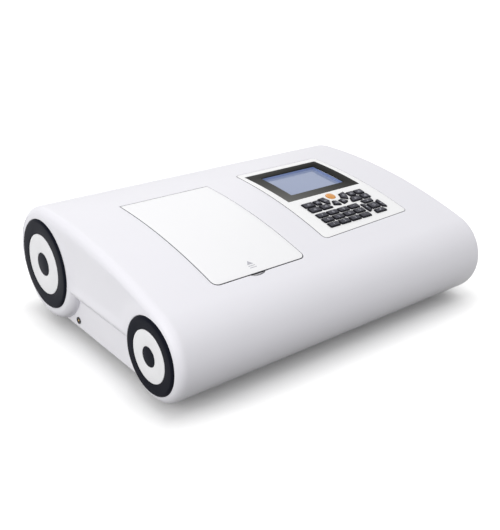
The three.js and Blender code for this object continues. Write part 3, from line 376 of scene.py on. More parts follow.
def over_scoop(points, depth=0.0):
    """The cover with the scoop's hollow, the lower half of an ellipsoid."""
    share = (((points - scoop_middle) / scoop_half) ** 2).sum(1)
    dip = scoop_depth * np.sqrt(np.clip(1 - share, 0, 1))
    return over_cover(points, np.maximum(depth, np.minimum(depth + dip, seat_depth)))


arc_steps = (48, 34, 60)
runs = [np.linspace(*lengths[k : k + 2], count + 1)[1:] for k, count in enumerate(arc_steps)]
side_s = np.concatenate([[0], *runs])
inner_x = half_width - pocket_inset
cross_x = np.linspace(-inner_x, inner_x, 61)


def row_of(x, s):
    """Points (x, s) in a row, of which x or s is one value, without the last."""
    return np.column_stack(np.broadcast_arrays(x, s))[:-1]


wrap_border = np.vstack([
    row_of(cross_x, 0), row_of(inner_x, side_s),
    row_of(cross_x[::-1], lengths[3]), row_of(-inner_x, side_s[::-1]),
])
scoop_ring = circle(np.zeros(2), 1, 144)
scoop_points = np.vstack([share * scoop_ring for share in (0.3, 0.55, 0.75, 0.9, 1, 1.1)])
scoop_points = scoop_points * scoop_half + scoop_middle
scoop_clear, scoop_border, collar_end = 16 * mm, 1.04, 205.6 * mm
wrap_points = lattice(cross_x, side_s)
wrap_points = wrap_points[((wrap_points - scoop_middle) ** 2).sum(1) > scoop_clear**2]
# The walls of the openings take the seams' painted shade.
wrap = skin(
    over_scoop, (wrap_border, 0, 0),
    [(lid_seat, edge_roll, seat_depth), (panel_seat, edge_roll, seat_depth),
     (rear_window, window_roll, window_wall)],
    np.vstack([wrap_points, scoop_points]), clear=0.4 * mm, wall_finish=1,
)

# The faces in the scoop get a grey finish, painted shade in its hollow. They are picked in plan, where the
# lean of the crown narrows the scoop, and only on top. A collar runs from the window's wall back to the
# plate.
points, faces = wrap[0]
scoop_place = over_cover(scoop_middle[None])[0]
lean = (scoop_place[2] - crown[1]) / crown_radius
middles = points[faces].mean(1)
from_scoop = (middles[:, :2] - scoop_place[:2]) / (scoop_half * (1, lean))
painted_shade_in_scoop = ((from_scoop**2).sum(1) < scoop_border) & (middles[:, 2] > scoop_place[2] - 10 * mm)
wrap[0] = points, faces[~painted_shade_in_scoop]
wrap.append((points, faces[painted_shade_in_scoop], 2))
collar = over_cover(rear_window, window_wall)
collar_back = collar * (1, 0, 1) + (0, collar_end, 0)
wrap.append(ladder([collar, collar_back]))


def end_outline(inset):
    """The side outline of a full end at an inset, closed: up the front drum, over the crown, down the
    rear drum and round under it, then along the pocket's edge and under the front drum."""
    edge = pocket_top + inset
    radii = arc_radii - inset
    front_end = np.arcsin((edge - front_drum[1]) / radii[0])
    rear_end = -np.pi - np.arcsin((edge - rear_drum[1]) / radii[2])
    runs = [arc(arc_centres[k], radii[k], arc_starts[k], arc_ends[k], n) for k, n in enumerate(arc_steps)]
    under_rear = arc(rear_drum, radii[2], -turn, rear_end, 24)
    under_front = arc(front_drum, radii[0], front_end + 4 * turn, 3 * turn, 24)
    share = np.linspace(0, 1, 31)[:, None]
    level = under_rear[-1] + share * (under_front[0] - under_rear[-1])
    return np.vstack([runs[0], runs[1][1:], runs[2][1:], under_rear[1:], level[1:], under_front[1:-1]])


# The hollow of an end between its drums is part of a long upright cylinder's side. It fades out
# towards the pocket's edge and round the discs.
cheek_depth, cheek_half, cheek_drop = 2.5 * mm, 52 * mm, 68 * mm
fade_low, fade_high, fade_band = 84 * mm, 104 * mm, 26 * mm
rear_fade, front_fade = 75 * mm, 60 * mm
cheek_radius = (cheek_half**2 + cheek_depth**2) / (2 * cheek_depth)
cheek_along = unit(rear_drum - front_drum)


def crown_z(y):
    """Height of the crown's arc at a y."""
    return crown[1] + np.sqrt(crown_radius**2 - (y - crown[0]) ** 2)


cheek_y = (rear_drum[0] + front_drum[0]) / 2
cheek_middle = np.array([cheek_y, crown_z(cheek_y) - cheek_drop])


def smooth(value, low, high):
    """Runs from 0 at low to 1 at high on a cubic."""
    t = np.clip((value - low) / (high - low), 0, 1)
    return t * t * (3 - 2 * t)


def hollow(side_points):
    """Depth of the hollow at points (y, z): a circle's sagitta across the line from drum to drum,
    fading out near the discs and the pocket's edge."""
    offset = side_points - cheek_middle
    across = offset[:, 1] * cheek_along[0] - offset[:, 0] * cheek_along[1]
    depth = np.sqrt(np.clip(cheek_radius**2 - across**2, 0, None)) - (cheek_radius - cheek_depth)
    fade = smooth(side_points[:, 1], fade_low, fade_high)
    for centre, radius in ((rear_drum, rear_fade), (front_drum, front_fade)):
        fade = fade * smooth(np.hypot(*(side_points - centre).T), radius, radius + fade_band)
    return np.clip(depth, 0, None) * fade


face_inset = 11 * mm
face_angle = np.arccos(1 - face_inset / rim_radius)
rear_disc, front_disc, disc_seat, disc_gap = 73 * mm, 57 * mm, 1.5 * mm, 0.3 * mm
end_loop = end_outline(face_inset)


def rim_x(angle):
    """How far out an end's rim is at an angle of its quarter circle."""
    return half_width - rim_radius + rim_radius * np.sin(angle)


def end_of(side):
    """One end: rings at insets that follow the rim's quarter circle, then a face with the hollow and
    the two disc seats. The face's x goes on along the quarter circle with the distance from its
    border."""
    rings = [np.column_stack([np.full(len(end_loop), side * inner_x), end_outline(0)])]
    for angle in np.linspace(0, face_angle, 10):
        outline = end_outline(rim_radius * (1 - np.cos(angle)))
        rings.append(np.column_stack([np.full(len(end_loop), side * rim_x(angle)), outline]))
    border = end_loop * [side, 1]
    border = border[::-1] if side > 0 else border

    def on_end(points, depth=0.0):
        """Points (y, z) set on the face, as deep as the hollow and the depth."""
        inset = face_inset + apart(points, border)
        inset[: len(border)] = face_inset
        x = rim_x(np.arccos(np.clip(1 - inset / rim_radius, 0, 1))) - depth
        flat = points * [side, 1]
        return np.column_stack([side * (x - hollow(flat)), flat])

    seats = [
        (circle(centre * [side, 1], radius + disc_gap, 96), edge_roll, disc_seat)
        for centre, radius in ((rear_drum, rear_disc), (front_drum, front_disc))
    ]
    grid = lattice(np.arange(-232, 236, 3.5) * mm, np.arange(14, 200, 3.5) * mm)
    return [ladder(rings, flip=side > 0), *skin(on_end, (border, 0, 0), seats, grid, clear=1.4 * mm)]


def cover_inside():
    """The CAD cover's faces that the skins don't stand for. A corner is on the skin where its distance
    to the side outline is the rim's inset at its x, and faces that touch it go, apart from the lips.
    The scoop's faces go too."""
    near, end_wall, top = 0.65 * mm, 3.2 * mm, 100 * mm
    triangles = node_triangles("top_cover")
    outline = end_outline(0)
    onward = np.roll(outline, -1, 0) - outline
    dense = np.vstack([outline + share * onward for share in np.linspace(0, 1, 8)[:-1]])
    flat = triangles.reshape(-1, 3)
    reach = np.clip((np.abs(flat[:, 0]) - (half_width - rim_radius)) / rim_radius, 0, 1)
    inset = rim_radius * (1 - np.sqrt(1 - reach**2))
    distance = np.concatenate([apart(part, dense) for part in np.array_split(flat[:, 1:], 12)])
    on_end = np.abs(flat[:, 0]) > half_width - end_wall
    touches = ((np.abs(distance - inset) < near) | on_end).reshape(-1, 3)
    x, y, z = triangles.mean(1).T
    lip = (z < pocket_top + 1 * mm) & (y < 150 * mm) & (np.abs(x) < inner_x + 0.4 * mm)
    scoop_y = lid_front - lid_end_seam - scoop_half[1] / 2
    in_scoop = (
        (np.abs(x - scoop_middle[0]) < scoop_half[0] + 1 * mm)
        & (np.abs(y - scoop_y) < scoop_half[1] / 2 + 0.2 * mm) & (z > top)
    )
    return as_patch(triangles[(~touches.any(1) | (lip & ~touches.all(1))) & ~in_scoop])


piece(
    "cover", [*wrap, *end_of(-1), *end_of(1), cover_inside()], [white_gloss, seam_painted_shade, scoop_painted_shade],
    nodes=["top_cover"],
)

# Sample lid: a white moulded plate 3 mm thick that follows the crown, with a light skirt and ribs
# underneath. Two knuckles under its back edge turn on the hinge pin.
lid_low, lid_high = along_crown(lid_front), along_crown(lid_back)
lid_loop = crown_box(lid_left, lid_right, lid_front, lid_back, [lid_corner] * 2 + [square_corner] * 2)


def crown_depth(points):
    """Depth of points below the crown's arc."""
    return crown_radius - np.hypot(points[..., 1] - crown[0], points[..., 2] - crown[1])


def under_side(node):
    """A crown plate's CAD faces that don't touch its top."""
    triangles = node_triangles(node)
    return as_patch(triangles[(crown_depth(triangles) > 0.25 * mm).all(1)])


lid_white = finish_of("lid_white", (250, 250, 252), (0.27, 0.33), 0.003 * mm, fine=450, shift=0.01)
# The lid's and the panel's edge walls are painted near black and their rolled borders mid grey: painted
# shade in the seams round them.
edge_painted_shade = finish_of("edge_painted_shade", (30, 30, 33), (0.5, 0.6), 0.004 * mm, Specular_IOR_Level=0.1)
edge_shade = finish_of("edge_shade", (118, 118, 124), (0.5, 0.6), 0.004 * mm, Specular_IOR_Level=0.2)
lid_points = lattice(np.linspace(lid_left, lid_right, 18), np.linspace(lid_low, lid_high, 26))
lid_skin = skin(
    over_cover, (lid_loop, edge_roll, plate), [], lid_points, clear=4 * mm, wall_finish=1, rim_finish=2
)
piece(
    "lid", [*lid_skin, under_side("sample_lid")], [lid_white, edge_painted_shade, edge_shade],
    body="lid", nodes=["sample_lid"],
)

# A pale grey arrow over two bars, printed on the lid behind the scoop, shows where to lift.
mark_ink = finish_of("grey_print", (190, 190, 198), (0.4, 0.5), 0.002 * mm)
mark_place = np.array([-130 * mm, along_crown(-147.5 * mm)])
ink_lift = 0.03 * mm
mark_forms = [[(-5.6, 1), (5.6, 1), (0, 9)]]
mark_forms += [[(-6, low), (6, low), (6, low + 1.5), (-6, low + 1.5)] for low in (-3, -7)]
ink = [one_face(over_cover(np.array(form) * mm + mark_place, -ink_lift)) for form in mark_forms]
piece("lift_mark", ink, mark_ink, body="lid")

# Control panel: a white plate let flush into the crown, with a smooth printed film over it. It has
# a shallow seat for the display's frame and a hole for each key. The keys' outlines lie in a plane
# that touches the crown, and their corners are listed in millimetres.
panel_white = finish_of("white_film", (252, 252, 253), (0.3, 0.38), 0.003 * mm, shift=0.01)
key_plane_y = -84 * mm
key_tilt = -np.arcsin((key_plane_y - crown[0]) / crown_radius)
key_origin = np.array([0, key_plane_y, crown_z(key_plane_y)])
tilt_cos, tilt_sin = np.cos(key_tilt), np.sin(key_tilt)
key_axes = np.array([[1, 0, 0], [0, tilt_cos, tilt_sin], [0, -tilt_sin, tilt_cos]])
button_x, button_y = 125.202, 37
button_middle = np.array([button_x, button_y]) * mm
button_radius = 8.6 * mm
ring_out, ring_in = 31 * mm, 16.8 * mm
key_corner = 2.2 * mm


def ring_key(start, end):
    """A bent key's outline: part of a flat ring round the button. Each corner is a quadratic curve
    between points one corner radius away along both its sides."""
    first, last = np.radians([180 + start, 180 + end])
    runs = []
    for radius, begin, stop, sign in ((ring_out, first, last, 1), (ring_in, last, first, -1)):
        cut = key_corner / radius * sign
        side = arc(button_middle, radius, begin + cut, stop - cut, 9)
        corner = button_middle + radius * np.array([np.cos(stop), np.sin(stop)])
        turned_in = corner + (button_middle - corner) / radius * key_corner * sign
        t = np.linspace(0, 1, 6)[:, None]
        runs += [side, ((1 - t) ** 2 * side[-1] + 2 * t * (1 - t) * corner + t**2 * turned_in)[1:]]
    return np.vstack(runs)


def box_of(left, right, low, high, left_lean=0, right_lean=0):
    """A key's corners, anticlockwise. The leans move the upper two to the right."""
    return [(left, low), (right, low), (right + right_lean, high), (left + left_lean, high)]


key_outlines = {}
pad_left, left_edge, right_edge, pad_right = 54.002, 77.502, 174.902, 193.502
function_top, function_depth, function_pitch = 34.8, 14.1, 15.9
number_top, number_depth, number_rows = -0.3, 12.4, 14.3
number_width, number_pitch = 22.4, 24.3
key_gap = number_pitch - number_width
for row, (slant, lean) in enumerate([(32.6, 0), (21, 7)]):
    high = function_top - row * function_pitch
    low = high - function_depth
    for name, *sides in (
        ("left_{}_1", pad_left, left_edge, low, high),
        ("left_{}_2", left_edge + key_gap, button_x - slant, low, high, 0, -lean),
        ("right_{}_1", button_x + slant, right_edge - key_gap, low, high, lean),
        ("right_{}_2", right_edge, pad_right, low, high),
    ):
        key_outlines["key_" + name.format(row + 1)] = box_of(*sides)
for row in range(3):
    for column in range(4):
        left, high = pad_left + column * number_pitch, number_top - row * number_rows
        sides = left, left + number_width, high - number_depth, high
        key_outlines[f"key_number_{row + 1}_{column + 1}"] = box_of(*sides)
nav_x, nav_y, nav_wide, nav_deep = 175.002, -18.6, 10.5, 8.25
sides = nav_x - nav_wide, nav_x + nav_wide, nav_y - nav_deep, nav_y + nav_deep
key_outlines["key_nav_centre"] = box_of(*sides)
bar = np.array([(-13.4, -21.2), (13.4, -21.2), (10.9, -10.25), (-10.9, -10.25)])
post = np.array([(-12.5, 8.65), (-22, 14.2), (-22, -14.2), (-12.5, -8.65)])
for way, form in (("front", bar), ("back", -bar), ("left", post), ("right", -post)):
    key_outlines["key_nav_" + way] = form + (nav_x, nav_y)
key_loops = {
    name: loop_of(np.array(form) * mm, key_corner, 6 * mm, 5) for name, form in key_outlines.items()
}
for number, (start, end) in enumerate([(-4, 47.5), (53.5, 87), (93, 126.5), (132.5, 184)], 1):
    key_loops[f"key_ring_{number}"] = ring_key(start, end)
key_loops["start_button"] = circle(button_middle, button_radius, 48)

bezel_sides = bezel_left, bezel_right, bezel_front, bezel_back = np.array([43.002, 210.002, -33, 84.5]) * mm
bezel_loop = crown_box(*bezel_sides, square_corner)
keypad_s = np.array([0, along_crown(key_plane_y)])
fit, bezel_seat = 0.3 * mm, 1.8 * mm
panel_holes = [(grown(bezel_loop, fit), 0.25 * mm, bezel_seat)]
panel_holes += [(grown(loop, fit) + keypad_s, 0.3 * mm, plate) for loop in key_loops.values()]
(panel_left, panel_low), (panel_right, panel_high) = panel_corners.min(0), panel_corners.max(0)
panel_points = lattice(np.linspace(panel_left, panel_right, 24), np.linspace(panel_low, panel_high, 30))
# The panel's edge walls and rolled border take the same painted seam shade as the lid's.
panel_skin = skin(
    over_cover, (panel_loop, edge_roll, plate), panel_holes, panel_points,
    clear=2.5 * mm, roll_steps=3, wall_finish=1, rim_finish=2,
)
piece(
    "panel", [*panel_skin, under_side("control_panel")], [panel_white, edge_painted_shade, edge_shade],
    nodes=["control_panel"],
)

# Display frame: a glossy black window frame, flush with the panel. Its colour runs from black at the
# back and right to grey at the front left: a painted reflection.
bezel_black = finish_of("black_window", (24, 24, 26), (0.16, 0.24), 0.002 * mm, Specular_IOR_Level=0.01)
tree = bezel_black.node_tree
spot = add(tree, "SeparateXYZ", None, add(tree, "TexCoord").outputs["Object"]).outputs
rightward = add(tree, "MapRange", Value=spot["X"], From_Min=bezel_left, From_Max=bezel_right, To_Max=0.5)
backward = add(tree, "MapRange", Value=spot["Y"], From_Min=bezel_front, From_Max=bezel_back, To_Max=0.5)
both = add(tree, "Math", None, rightward.outputs[0], backward.outputs[0])
painted_reflection_tones = add(tree, "ValToRGB", Fac=both.outputs[0])
# Painted reflection: grey at the front left, black at the back right.
painted_reflection_tones.color_ramp.elements[0].color = linear(112, 112, 110)
painted_reflection_tones.color_ramp.elements[1].color = linear(8, 8, 8)
painted_reflection_tones.color_ramp.elements.new(0.5).color = linear(52, 52, 50)
feed(tree, tree.nodes["Principled BSDF"], Base_Color=painted_reflection_tones.outputs[0])
screen_sides = np.array([65.002, 189.502, -15, 66]) * mm
bezel_points = lattice(np.linspace(bezel_left, bezel_right, 16), np.linspace(*bezel_loop[:, 1][[0, -1]], 4))
bezel_plate, bezel_roll, screen_corner, screen_roll = 1.5 * mm, 0.3 * mm, 0.5 * mm, 0.4 * mm
screen_hole = crown_box(*screen_sides, screen_corner), screen_roll, bezel_plate
bezel_edge = bezel_loop, bezel_roll, bezel_plate
bezel_skin = skin(over_cover, bezel_edge, [screen_hole], bezel_points, clear=3 * mm)
piece(
    "display_frame", [*bezel_skin, under_side("display_bezel")], bezel_black,
    nodes=["display_bezel"],
)

# Screen: a pale blue display, faintly lit, at the bottom of a tray with deeper blue sides, fixed
# under the panel. The display is the CAD faces that look up from the tray's depth.
screen_blue = finish_of(
    "screen_blue", (140, 152, 180), (0.1, 0.16), 0.001 * mm, shift=0.03,
    Emission_Color=linear(150, 162, 205), Emission_Strength=0.12,
)
tray_blue = finish_of("tray_blue", (138, 156, 200), (0.3, 0.4), 0.002 * mm)
tray_depth = 5.5 * mm
triangles = node_triangles("lcd_screen")
facing = np.cross(triangles[:, 1] - triangles[:, 0], triangles[:, 2] - triangles[:, 0])
facing /= np.maximum(np.linalg.norm(facing, axis=1), 1e-12)[:, None]
lit = (facing[:, 2] > 0.9) & (crown_depth(triangles.mean(1)) > tray_depth)
piece(
    "screen", [(*as_patch(triangles[lit]), 0), (*as_patch(triangles[~lit]), 1)], [screen_blue, tray_blue],
    nodes=["lcd_screen"],
)

# Keys: moulded caps, grey on top with painted shade darkening their rounded edges and sides, and a round
# orange start button. A flange under the panel holds each one in. The number keys bear digits, the others
# small plain marks.
key_grey, key_side = (
    finish_of(name, colour, (0.36, 0.48), 0.008 * mm, fine=1400, shift=0.1, Specular_IOR_Level=0.08)
    for name, colour in (("key_grey", (76, 76, 84)), ("key_side", (30, 30, 36)))
)
orange = finish_of("orange_button", (224, 148, 42), (0.14, 0.22), 0.002 * mm, Coat_Weight=0.4)
key_ink = finish_of("key_print", (176, 177, 186), (0.45, 0.55), 0.002 * mm)


def on_keypad(points, height):
    """Points (x, y) in the keypad's plane at a height over it."""
    flat = np.column_stack([points, np.broadcast_to(height, len(points))])
    return key_origin + flat @ key_axes


def key_levels(name):
    """The heights of a key's CAD corners over the keypad's plane, lowest first."""
    heights = (node_triangles(name).reshape(-1, 3) - key_origin) @ key_axes[2]
    return heights.min(), heights.max()


flange_grow, flange_height, key_draft, key_rise, dome = 0.6 * mm, 1.2 * mm, 1.9 * mm, 2.2 * mm, 1.4 * mm
for name, loop in key_loops.items():
    under, top = key_levels(name)
    if name == "start_button":
        crest = [
            (grown(loop, -button_radius * (1 - share)), top - dome + dome * np.sqrt(1 - share * share))
            for share in np.linspace(0.98, 0.06, 9)
        ]
        look, slot = [orange, orange], "orange"
    else:
        crest = [
            (grown(loop, -key_draft * (1 - np.cos(angle))), top - key_rise * (1 - np.sin(angle)))
            for angle in np.linspace(0, turn, 5)
        ]
        look, slot = [key_grey, key_side], "key_grey"
    levels = [
        (grown(loop, flange_grow), under), (grown(loop, flange_grow), under + flange_height),
        (loop, under + flange_height), (loop, crest[0][1] - 0.1 * mm), *crest,
    ]
    points, faces = ladder([on_keypad(ring, height) for ring, height in levels])
    bottom = np.arange(len(loop))[None]
    # All but the flat top take the second finish: painted shade on the keys, plain orange on the button.
    patches = [(points, faces, 1), (points, bottom[:, ::-1], 1), (points, bottom + len(points) - len(loop))]
    piece(name + "_cap", patches, look, body=name, nodes=[name])


def key_mark(name, patches):
    """Print on a key's top, as thin as ink."""
    piece(name + "_print", patches, key_ink, body=name, weld=0.001 * mm)


def digit_mesh(text, size):
    """A digit in Blender's own font as points (x, y) about its middle, and its faces."""
    curve = bpy.data.curves.new("digit", "FONT")
    curve.body, curve.size = text, size
    letter = new_object("digit", curve)
    bpy.context.view_layer.update()
    flat = letter.evaluated_get(bpy.context.evaluated_depsgraph_get()).to_mesh()
    points = read(flat.vertices, "co").astype(float)[:, :2]
    faces = [list(face.vertices) for face in flat.polygons]
    bpy.data.objects.remove(letter)
    return points - (points.min(0) + points.max(0)) / 2, faces


digit_size, digit_lift, ring_print = 8 * mm, 0.02 * mm, 24 * mm
digits = "789-4560123."
ways = ["back", "left", "front", "right"]
for name, loop in key_loops.items():
    top = key_levels(name)[1]
    height = top + ink_lift
    middle = (loop.min(0) + loop.max(0)) / 2
    way = name.split("_")[-1]
    if name.startswith("key_number"):
        row, column = int(name[-3]) - 1, int(name[-1]) - 1
        points, faces = digit_mesh(digits[row * 4 + column], digit_size)
        placed = on_keypad(points + middle, top + digit_lift)
        key_mark(name, [(placed, np.array([face])) for face in faces])
    elif way in ways:
        angle = ways.index(way) * turn
        tip = np.array([(-2.3, -1.3), (2.3, -1.3), (0, 2)]) * mm
        spin = np.array([[np.cos(angle), np.sin(angle)], [-np.sin(angle), np.cos(angle)]])
        key_mark(name, [one_face(on_keypad(tip @ spin + middle, height))])
    elif way == "centre":
        rings = [circle(middle, radius, 32) for radius in (2.6 * mm, 1.8 * mm)]
        key_mark(name, [ladder([on_keypad(ring, height) for ring in rings])])
    elif name != "start_button":
        if name.startswith("key_ring"):
            middle = button_middle + unit(loop.mean(0) - button_middle) * ring_print
        strokes = []
        for wide, low in ((3.4, -1.7), (2.2, 0.5)):
            corners = np.array(box_of(-wide, wide, low, low + 1)) * mm
            strokes.append(one_face(on_keypad(corners + middle, height)))
        key_mark(name, strokes)

# End discs: dark slate caps, 3 mm proud, pressed into seats at the ends of the drums. Each has a
# rounded rim and a sunk field that holds a flat white ring round a hub.
slate = finish_of("slate_cap", (22, 24, 34), (0.3, 0.4), 0.004 * mm, shift=0.08, Specular_IOR_Level=0.02)
inlay_white = finish_of("white_inlay", (250, 250, 252), (0.42, 0.52), 0.004 * mm, shift=0.02)


def turned(profile, origin, ahead, sides=96):
    """A profile of (radius, height) turned once round the axis that goes ahead from the origin, which
    is upright or level. A height is how far ahead a point is."""
    profile = np.array(profile)
    up = (0, 1, 0) if ahead[2] else (0, 0, 1)
    angle = np.arange(sides) / sides * 4 * turn
    radius, height = profile.T[:, :, None]
    rings = [radius * np.cos(angle), radius * np.sin(angle), np.broadcast_to(height, (len(profile), sides))]
    points, faces = ladder(np.stack(rings, -1))
    return origin + points @ np.array([np.cross(up, ahead), up, ahead]), faces


def rounded_step(radius, height, size, inward, rising):
    """A quarter circle in a profile, from a wall at the radius to a flat at the height."""
    angle = np.linspace(0, turn, 5)
    across = size * (1 - np.cos(angle)) * (-1 if inward else 1)
    up = size * (np.sin(angle) - 1) * (1 if rising else -1)
    return [(radius + a, height + u) for a, u in zip(across, up)]


# A lathed profile ends just off its axis, where its points are welded into one.
axis = 1e-6
cap_back, cap_high, cap_round, cap_lip = -1.2 * mm, 3 * mm, 5 * mm, 2.9 * mm
field_floor, inlay_low, inlay_high, inlay_gap = 1.4 * mm, 1.7 * mm, 2.6 * mm, 0.3 * mm
field_share, hub_share = 0.68, 0.26
for end, side in (("left", -1), ("right", 1)):
    for drum, centre, radius in (("rear", rear_drum, rear_disc), ("front", front_drum, front_disc)):
        place, out = (side * half_width, *centre), (side, 0, 0)
        field, hub = radius * field_share, radius * hub_share
        profile = [
            (axis, cap_back), (radius, cap_back),
            *[(radius - cap_round * (1 - np.cos(a)), cap_high * np.sin(a)) for a in np.linspace(0, turn, 9)],
            *rounded_step(field + 0.6 * mm, cap_lip, 0.5 * mm, False, True)[::-1],
            (field, 2.2 * mm), (field, field_floor), (hub, field_floor),
            *rounded_step(hub, cap_high, 0.7 * mm, True, True), (axis, cap_high),
        ]
        name = f"{drum}_{end}_"
        piece(name + "disc_cap", [turned(profile, place, out)], slate, nodes=[name + "disc"])
        outer, inner = field - inlay_gap, hub + inlay_gap
        profile = [
            (outer, inlay_low), *rounded_step(outer, inlay_high, 0.3 * mm, True, True),
            *rounded_step(inner, inlay_high, 0.3 * mm, False, True)[::-1], (inner, inlay_low),
            (outer, inlay_low),
        ]
        piece(
            name + "inlay_ring", [turned(profile, place, out)], inlay_white,
            nodes=[name + "inlay"],
        )


# Base pan: a folded sheet tray, painted white, that carries everything and closes the cover below.
# Its corners are eased by a small bevel.
def eased(name, node, finish, width, body="housing", patches=None):
    """A merged copy of a CAD node with its flat faces joined up and its edges bevelled."""
    patches = patches or [as_patch(node_triangles(node))]
    made = piece(name, patches, finish, body, [node])
    shape = bmesh.new()
    shape.from_mesh(made.data)
    bmesh.ops.dissolve_limit(
        shape, angle_limit=0.02, verts=shape.verts, edges=shape.edges, delimit={"MATERIAL"}
    )
    shape.to_mesh(made.data)
    shape.free()
    bevel = made.modifiers.new("eased_edges", "BEVEL")
    bevel.width, bevel.segments = width, 2
    bevel.limit_method, bevel.angle_limit = "ANGLE", np.radians(40)
    bevel.harden_normals = True


pan_white = finish_of("white_paint", (250, 249, 254), (0.4, 0.5), 0.006 * mm, fine=700, shift=0.015)
eased("pan", "base_pan", pan_white, 0.5 * mm)

# Feet: four turned black rubber feet with a rounded lower edge, each held by a screw in its recess.
rubber = finish_of("black_rubber", (30, 30, 31), (0.7, 0.85), 0.03 * mm, fine=1200, shift=0.15)
steel = finish_of("plain_steel", (188, 190, 194), (0.24, 0.4), 0.004 * mm, smears=160, Metallic=0.95)
foot_radius, foot_high, recess, recess_high = 14 * mm, 17.7 * mm, 5 * mm, 6 * mm
foot_x, foot_front, foot_rear = 246 * mm, -134 * mm, 109 * mm
foot = [
    (axis, recess_high), (recess, recess_high), *rounded_step(recess, 0, 0.6 * mm, False, False),
    *rounded_step(foot_radius, 0, 1.8 * mm, True, False)[::-1], (foot_radius, 2 * mm),
    (13.2 * mm, 6 * mm), (11.6 * mm, 14 * mm), (11 * mm, foot_high), (axis, foot_high),
]
head_radius, head_face, head_back, boss_radius, boss_face = 4.2 * mm, 3.4 * mm, 5.9 * mm, 1.2 * mm, 2.6 * mm
head = [
    (axis, boss_face), (boss_radius, boss_face), (1.5 * mm, 3.6 * mm),
    *rounded_step(head_radius, head_face, 0.8 * mm, True, False)[::-1],
    (head_radius, head_back), (axis, head_back),
]
for end, x in (("left", -foot_x), ("right", foot_x)):
    for row, y in (("front", foot_front), ("rear", foot_rear)):
        name, place, up = f"foot_{row}_{end}", (x, y, 0), (0, 0, 1)
        piece(name + "_rubber", [turned(foot, place, up, 48)], rubber, nodes=[name])
        piece(name + "_screw", [turned(head, place, up, 32)], steel)

# Lid hinge pin: a plain steel rod with chamfered ends, through the cover's lugs and the lid's knuckles.
pin_low, pin_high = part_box("lid_hinge_pin")
place = 0, (pin_low.y + pin_high.y) / 2, (pin_low.z + pin_high.z) / 2
pin_radius, tip_radius, tip = 2 * mm, 1.6 * mm, 0.4 * mm
pin = [
    (axis, pin_low.x), (tip_radius, pin_low.x), (pin_radius, pin_low.x + tip),
    (pin_radius, pin_high.x - tip), (tip_radius, pin_high.x), (axis, pin_high.x),
]
piece("hinge_pin", [turned(pin, place, (1, 0, 0), 32)], steel, nodes=["lid_hinge_pin"])

# Side jack: a black bush through the pan's end wall with a brass pin down its middle.
black_plastic = finish_of("black_plastic", (26, 26, 28), (0.38, 0.5), 0.01 * mm, shift=0.1)
brass = finish_of("brass_pin", (214, 178, 110), (0.22, 0.34), 0.002 * mm, Metallic=1.0)
jack_low, jack_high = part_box("side_jack")
place = -inner_x, (jack_low.y + jack_high.y) / 2, (jack_low.z + jack_high.z) / 2
out = (-1, 0, 0)
bush_radius, collar_radius, bore_radius, contact_radius = 4.6 * mm, 5.6 * mm, 3.2 * mm, 1.9 * mm
bush_front, bush_back, bore_floor, contact_front = 1.9 * mm, -9 * mm, -4.5 * mm, 1.2 * mm
bush = [
    (axis, bush_back), (bush_radius, bush_back), (bush_radius, 0.3 * mm), (collar_radius, 0.3 * mm),
    *rounded_step(collar_radius, bush_front, 0.5 * mm, True, True),
    *rounded_step(bore_radius, bush_front, 0.3 * mm, False, True)[::-1],
    (bore_radius, bore_floor), (axis, bore_floor),
]
piece("jack_bush", [turned(bush, place, out, 48)], black_plastic, nodes=["side_jack"])
contact = [
    (contact_radius, bore_floor), *rounded_step(contact_radius, contact_front, 0.8 * mm, True, True),
    (axis, contact_front),
]
piece("jack_pin", [turned(contact, place, out, 24)], brass)

# Back: a steel plate behind the cover's window, with vents, the mains inlet and its rocker switch,
# and two data sockets on the main board behind it. Six pan-head screws hold the plate.
eased("back_plate", "rear_panel", steel, 0.3 * mm)
eased("inlet_module", "mains_inlet", black_plastic, 0.5 * mm)
eased("rocker", "switch_rocker", black_plastic, 0.6 * mm, body="rocker")
board_green = finish_of("board_green", (38, 96, 62), (0.35, 0.5), 0.006 * mm, broad=60, shift=0.25)
board_front, board_back = 185 * mm, 188.2 * mm
triangles = node_triangles("main_board")
depth = triangles.mean(1)[:, 1]
parts = [(depth > board_front) & (depth < board_back), depth >= board_back, depth <= board_front]
eased(
    "mother_board", "main_board", [board_green, steel, black_plastic], 0.25 * mm,
    patches=[(*as_patch(triangles[chosen]), k) for k, chosen in enumerate(parts)],
)
eased("key_board", "keypad_board", board_green, 0.25 * mm)
plate_face, screw_radius, screw_high, socket_floor = 205.7 * mm, 3 * mm, 1.9 * mm, 0.9 * mm
head = [
    (axis, 0), (screw_radius, 0), *rounded_step(screw_radius, screw_high, 0.9 * mm, True, True),
    (1.5 * mm, screw_high), (1.1 * mm, socket_floor), (axis, socket_floor),
]
for column, x, low, high in (("left", 28, 64, 128), ("middle", 150, 62, 129), ("right", 262, 64, 128)):
    for level, z in (("low", low), ("high", high)):
        screw = turned(head, (x * mm, plate_face, z * mm), (0, 1, 0), 32)
        piece(f"plate_screw_{level}_{column}", [screw], steel)

# Inside: a black painted sample chamber with a black anodised cell holder, and the cast cases of
# the monochromator, the detectors and the lamps, each with its parts sealed in.
black_paint = finish_of("flat_black_paint", (34, 34, 36), (0.62, 0.78), 0.05 * mm, fine=600, shift=0.12)
anodised = finish_of("black_anodised", (24, 25, 27), (0.34, 0.46), 0.006 * mm, smears=120, Metallic=0.7)
cast = finish_of("cast_alloy", (142, 146, 152), (0.42, 0.6), 0.09 * mm, fine=420, shift=0.12, Metallic=0.85)
eased("chamber_tub", "sample_chamber", black_paint, 0.5 * mm)
eased("holder", "cell_holder", anodised, 0.5 * mm)
for name, node in (
    ("mono_case", "monochromator"), ("detector_case", "detector_housing"), ("lamp_case", "lamp_house")
):
    eased(name, node, cast, 0.8 * mm)

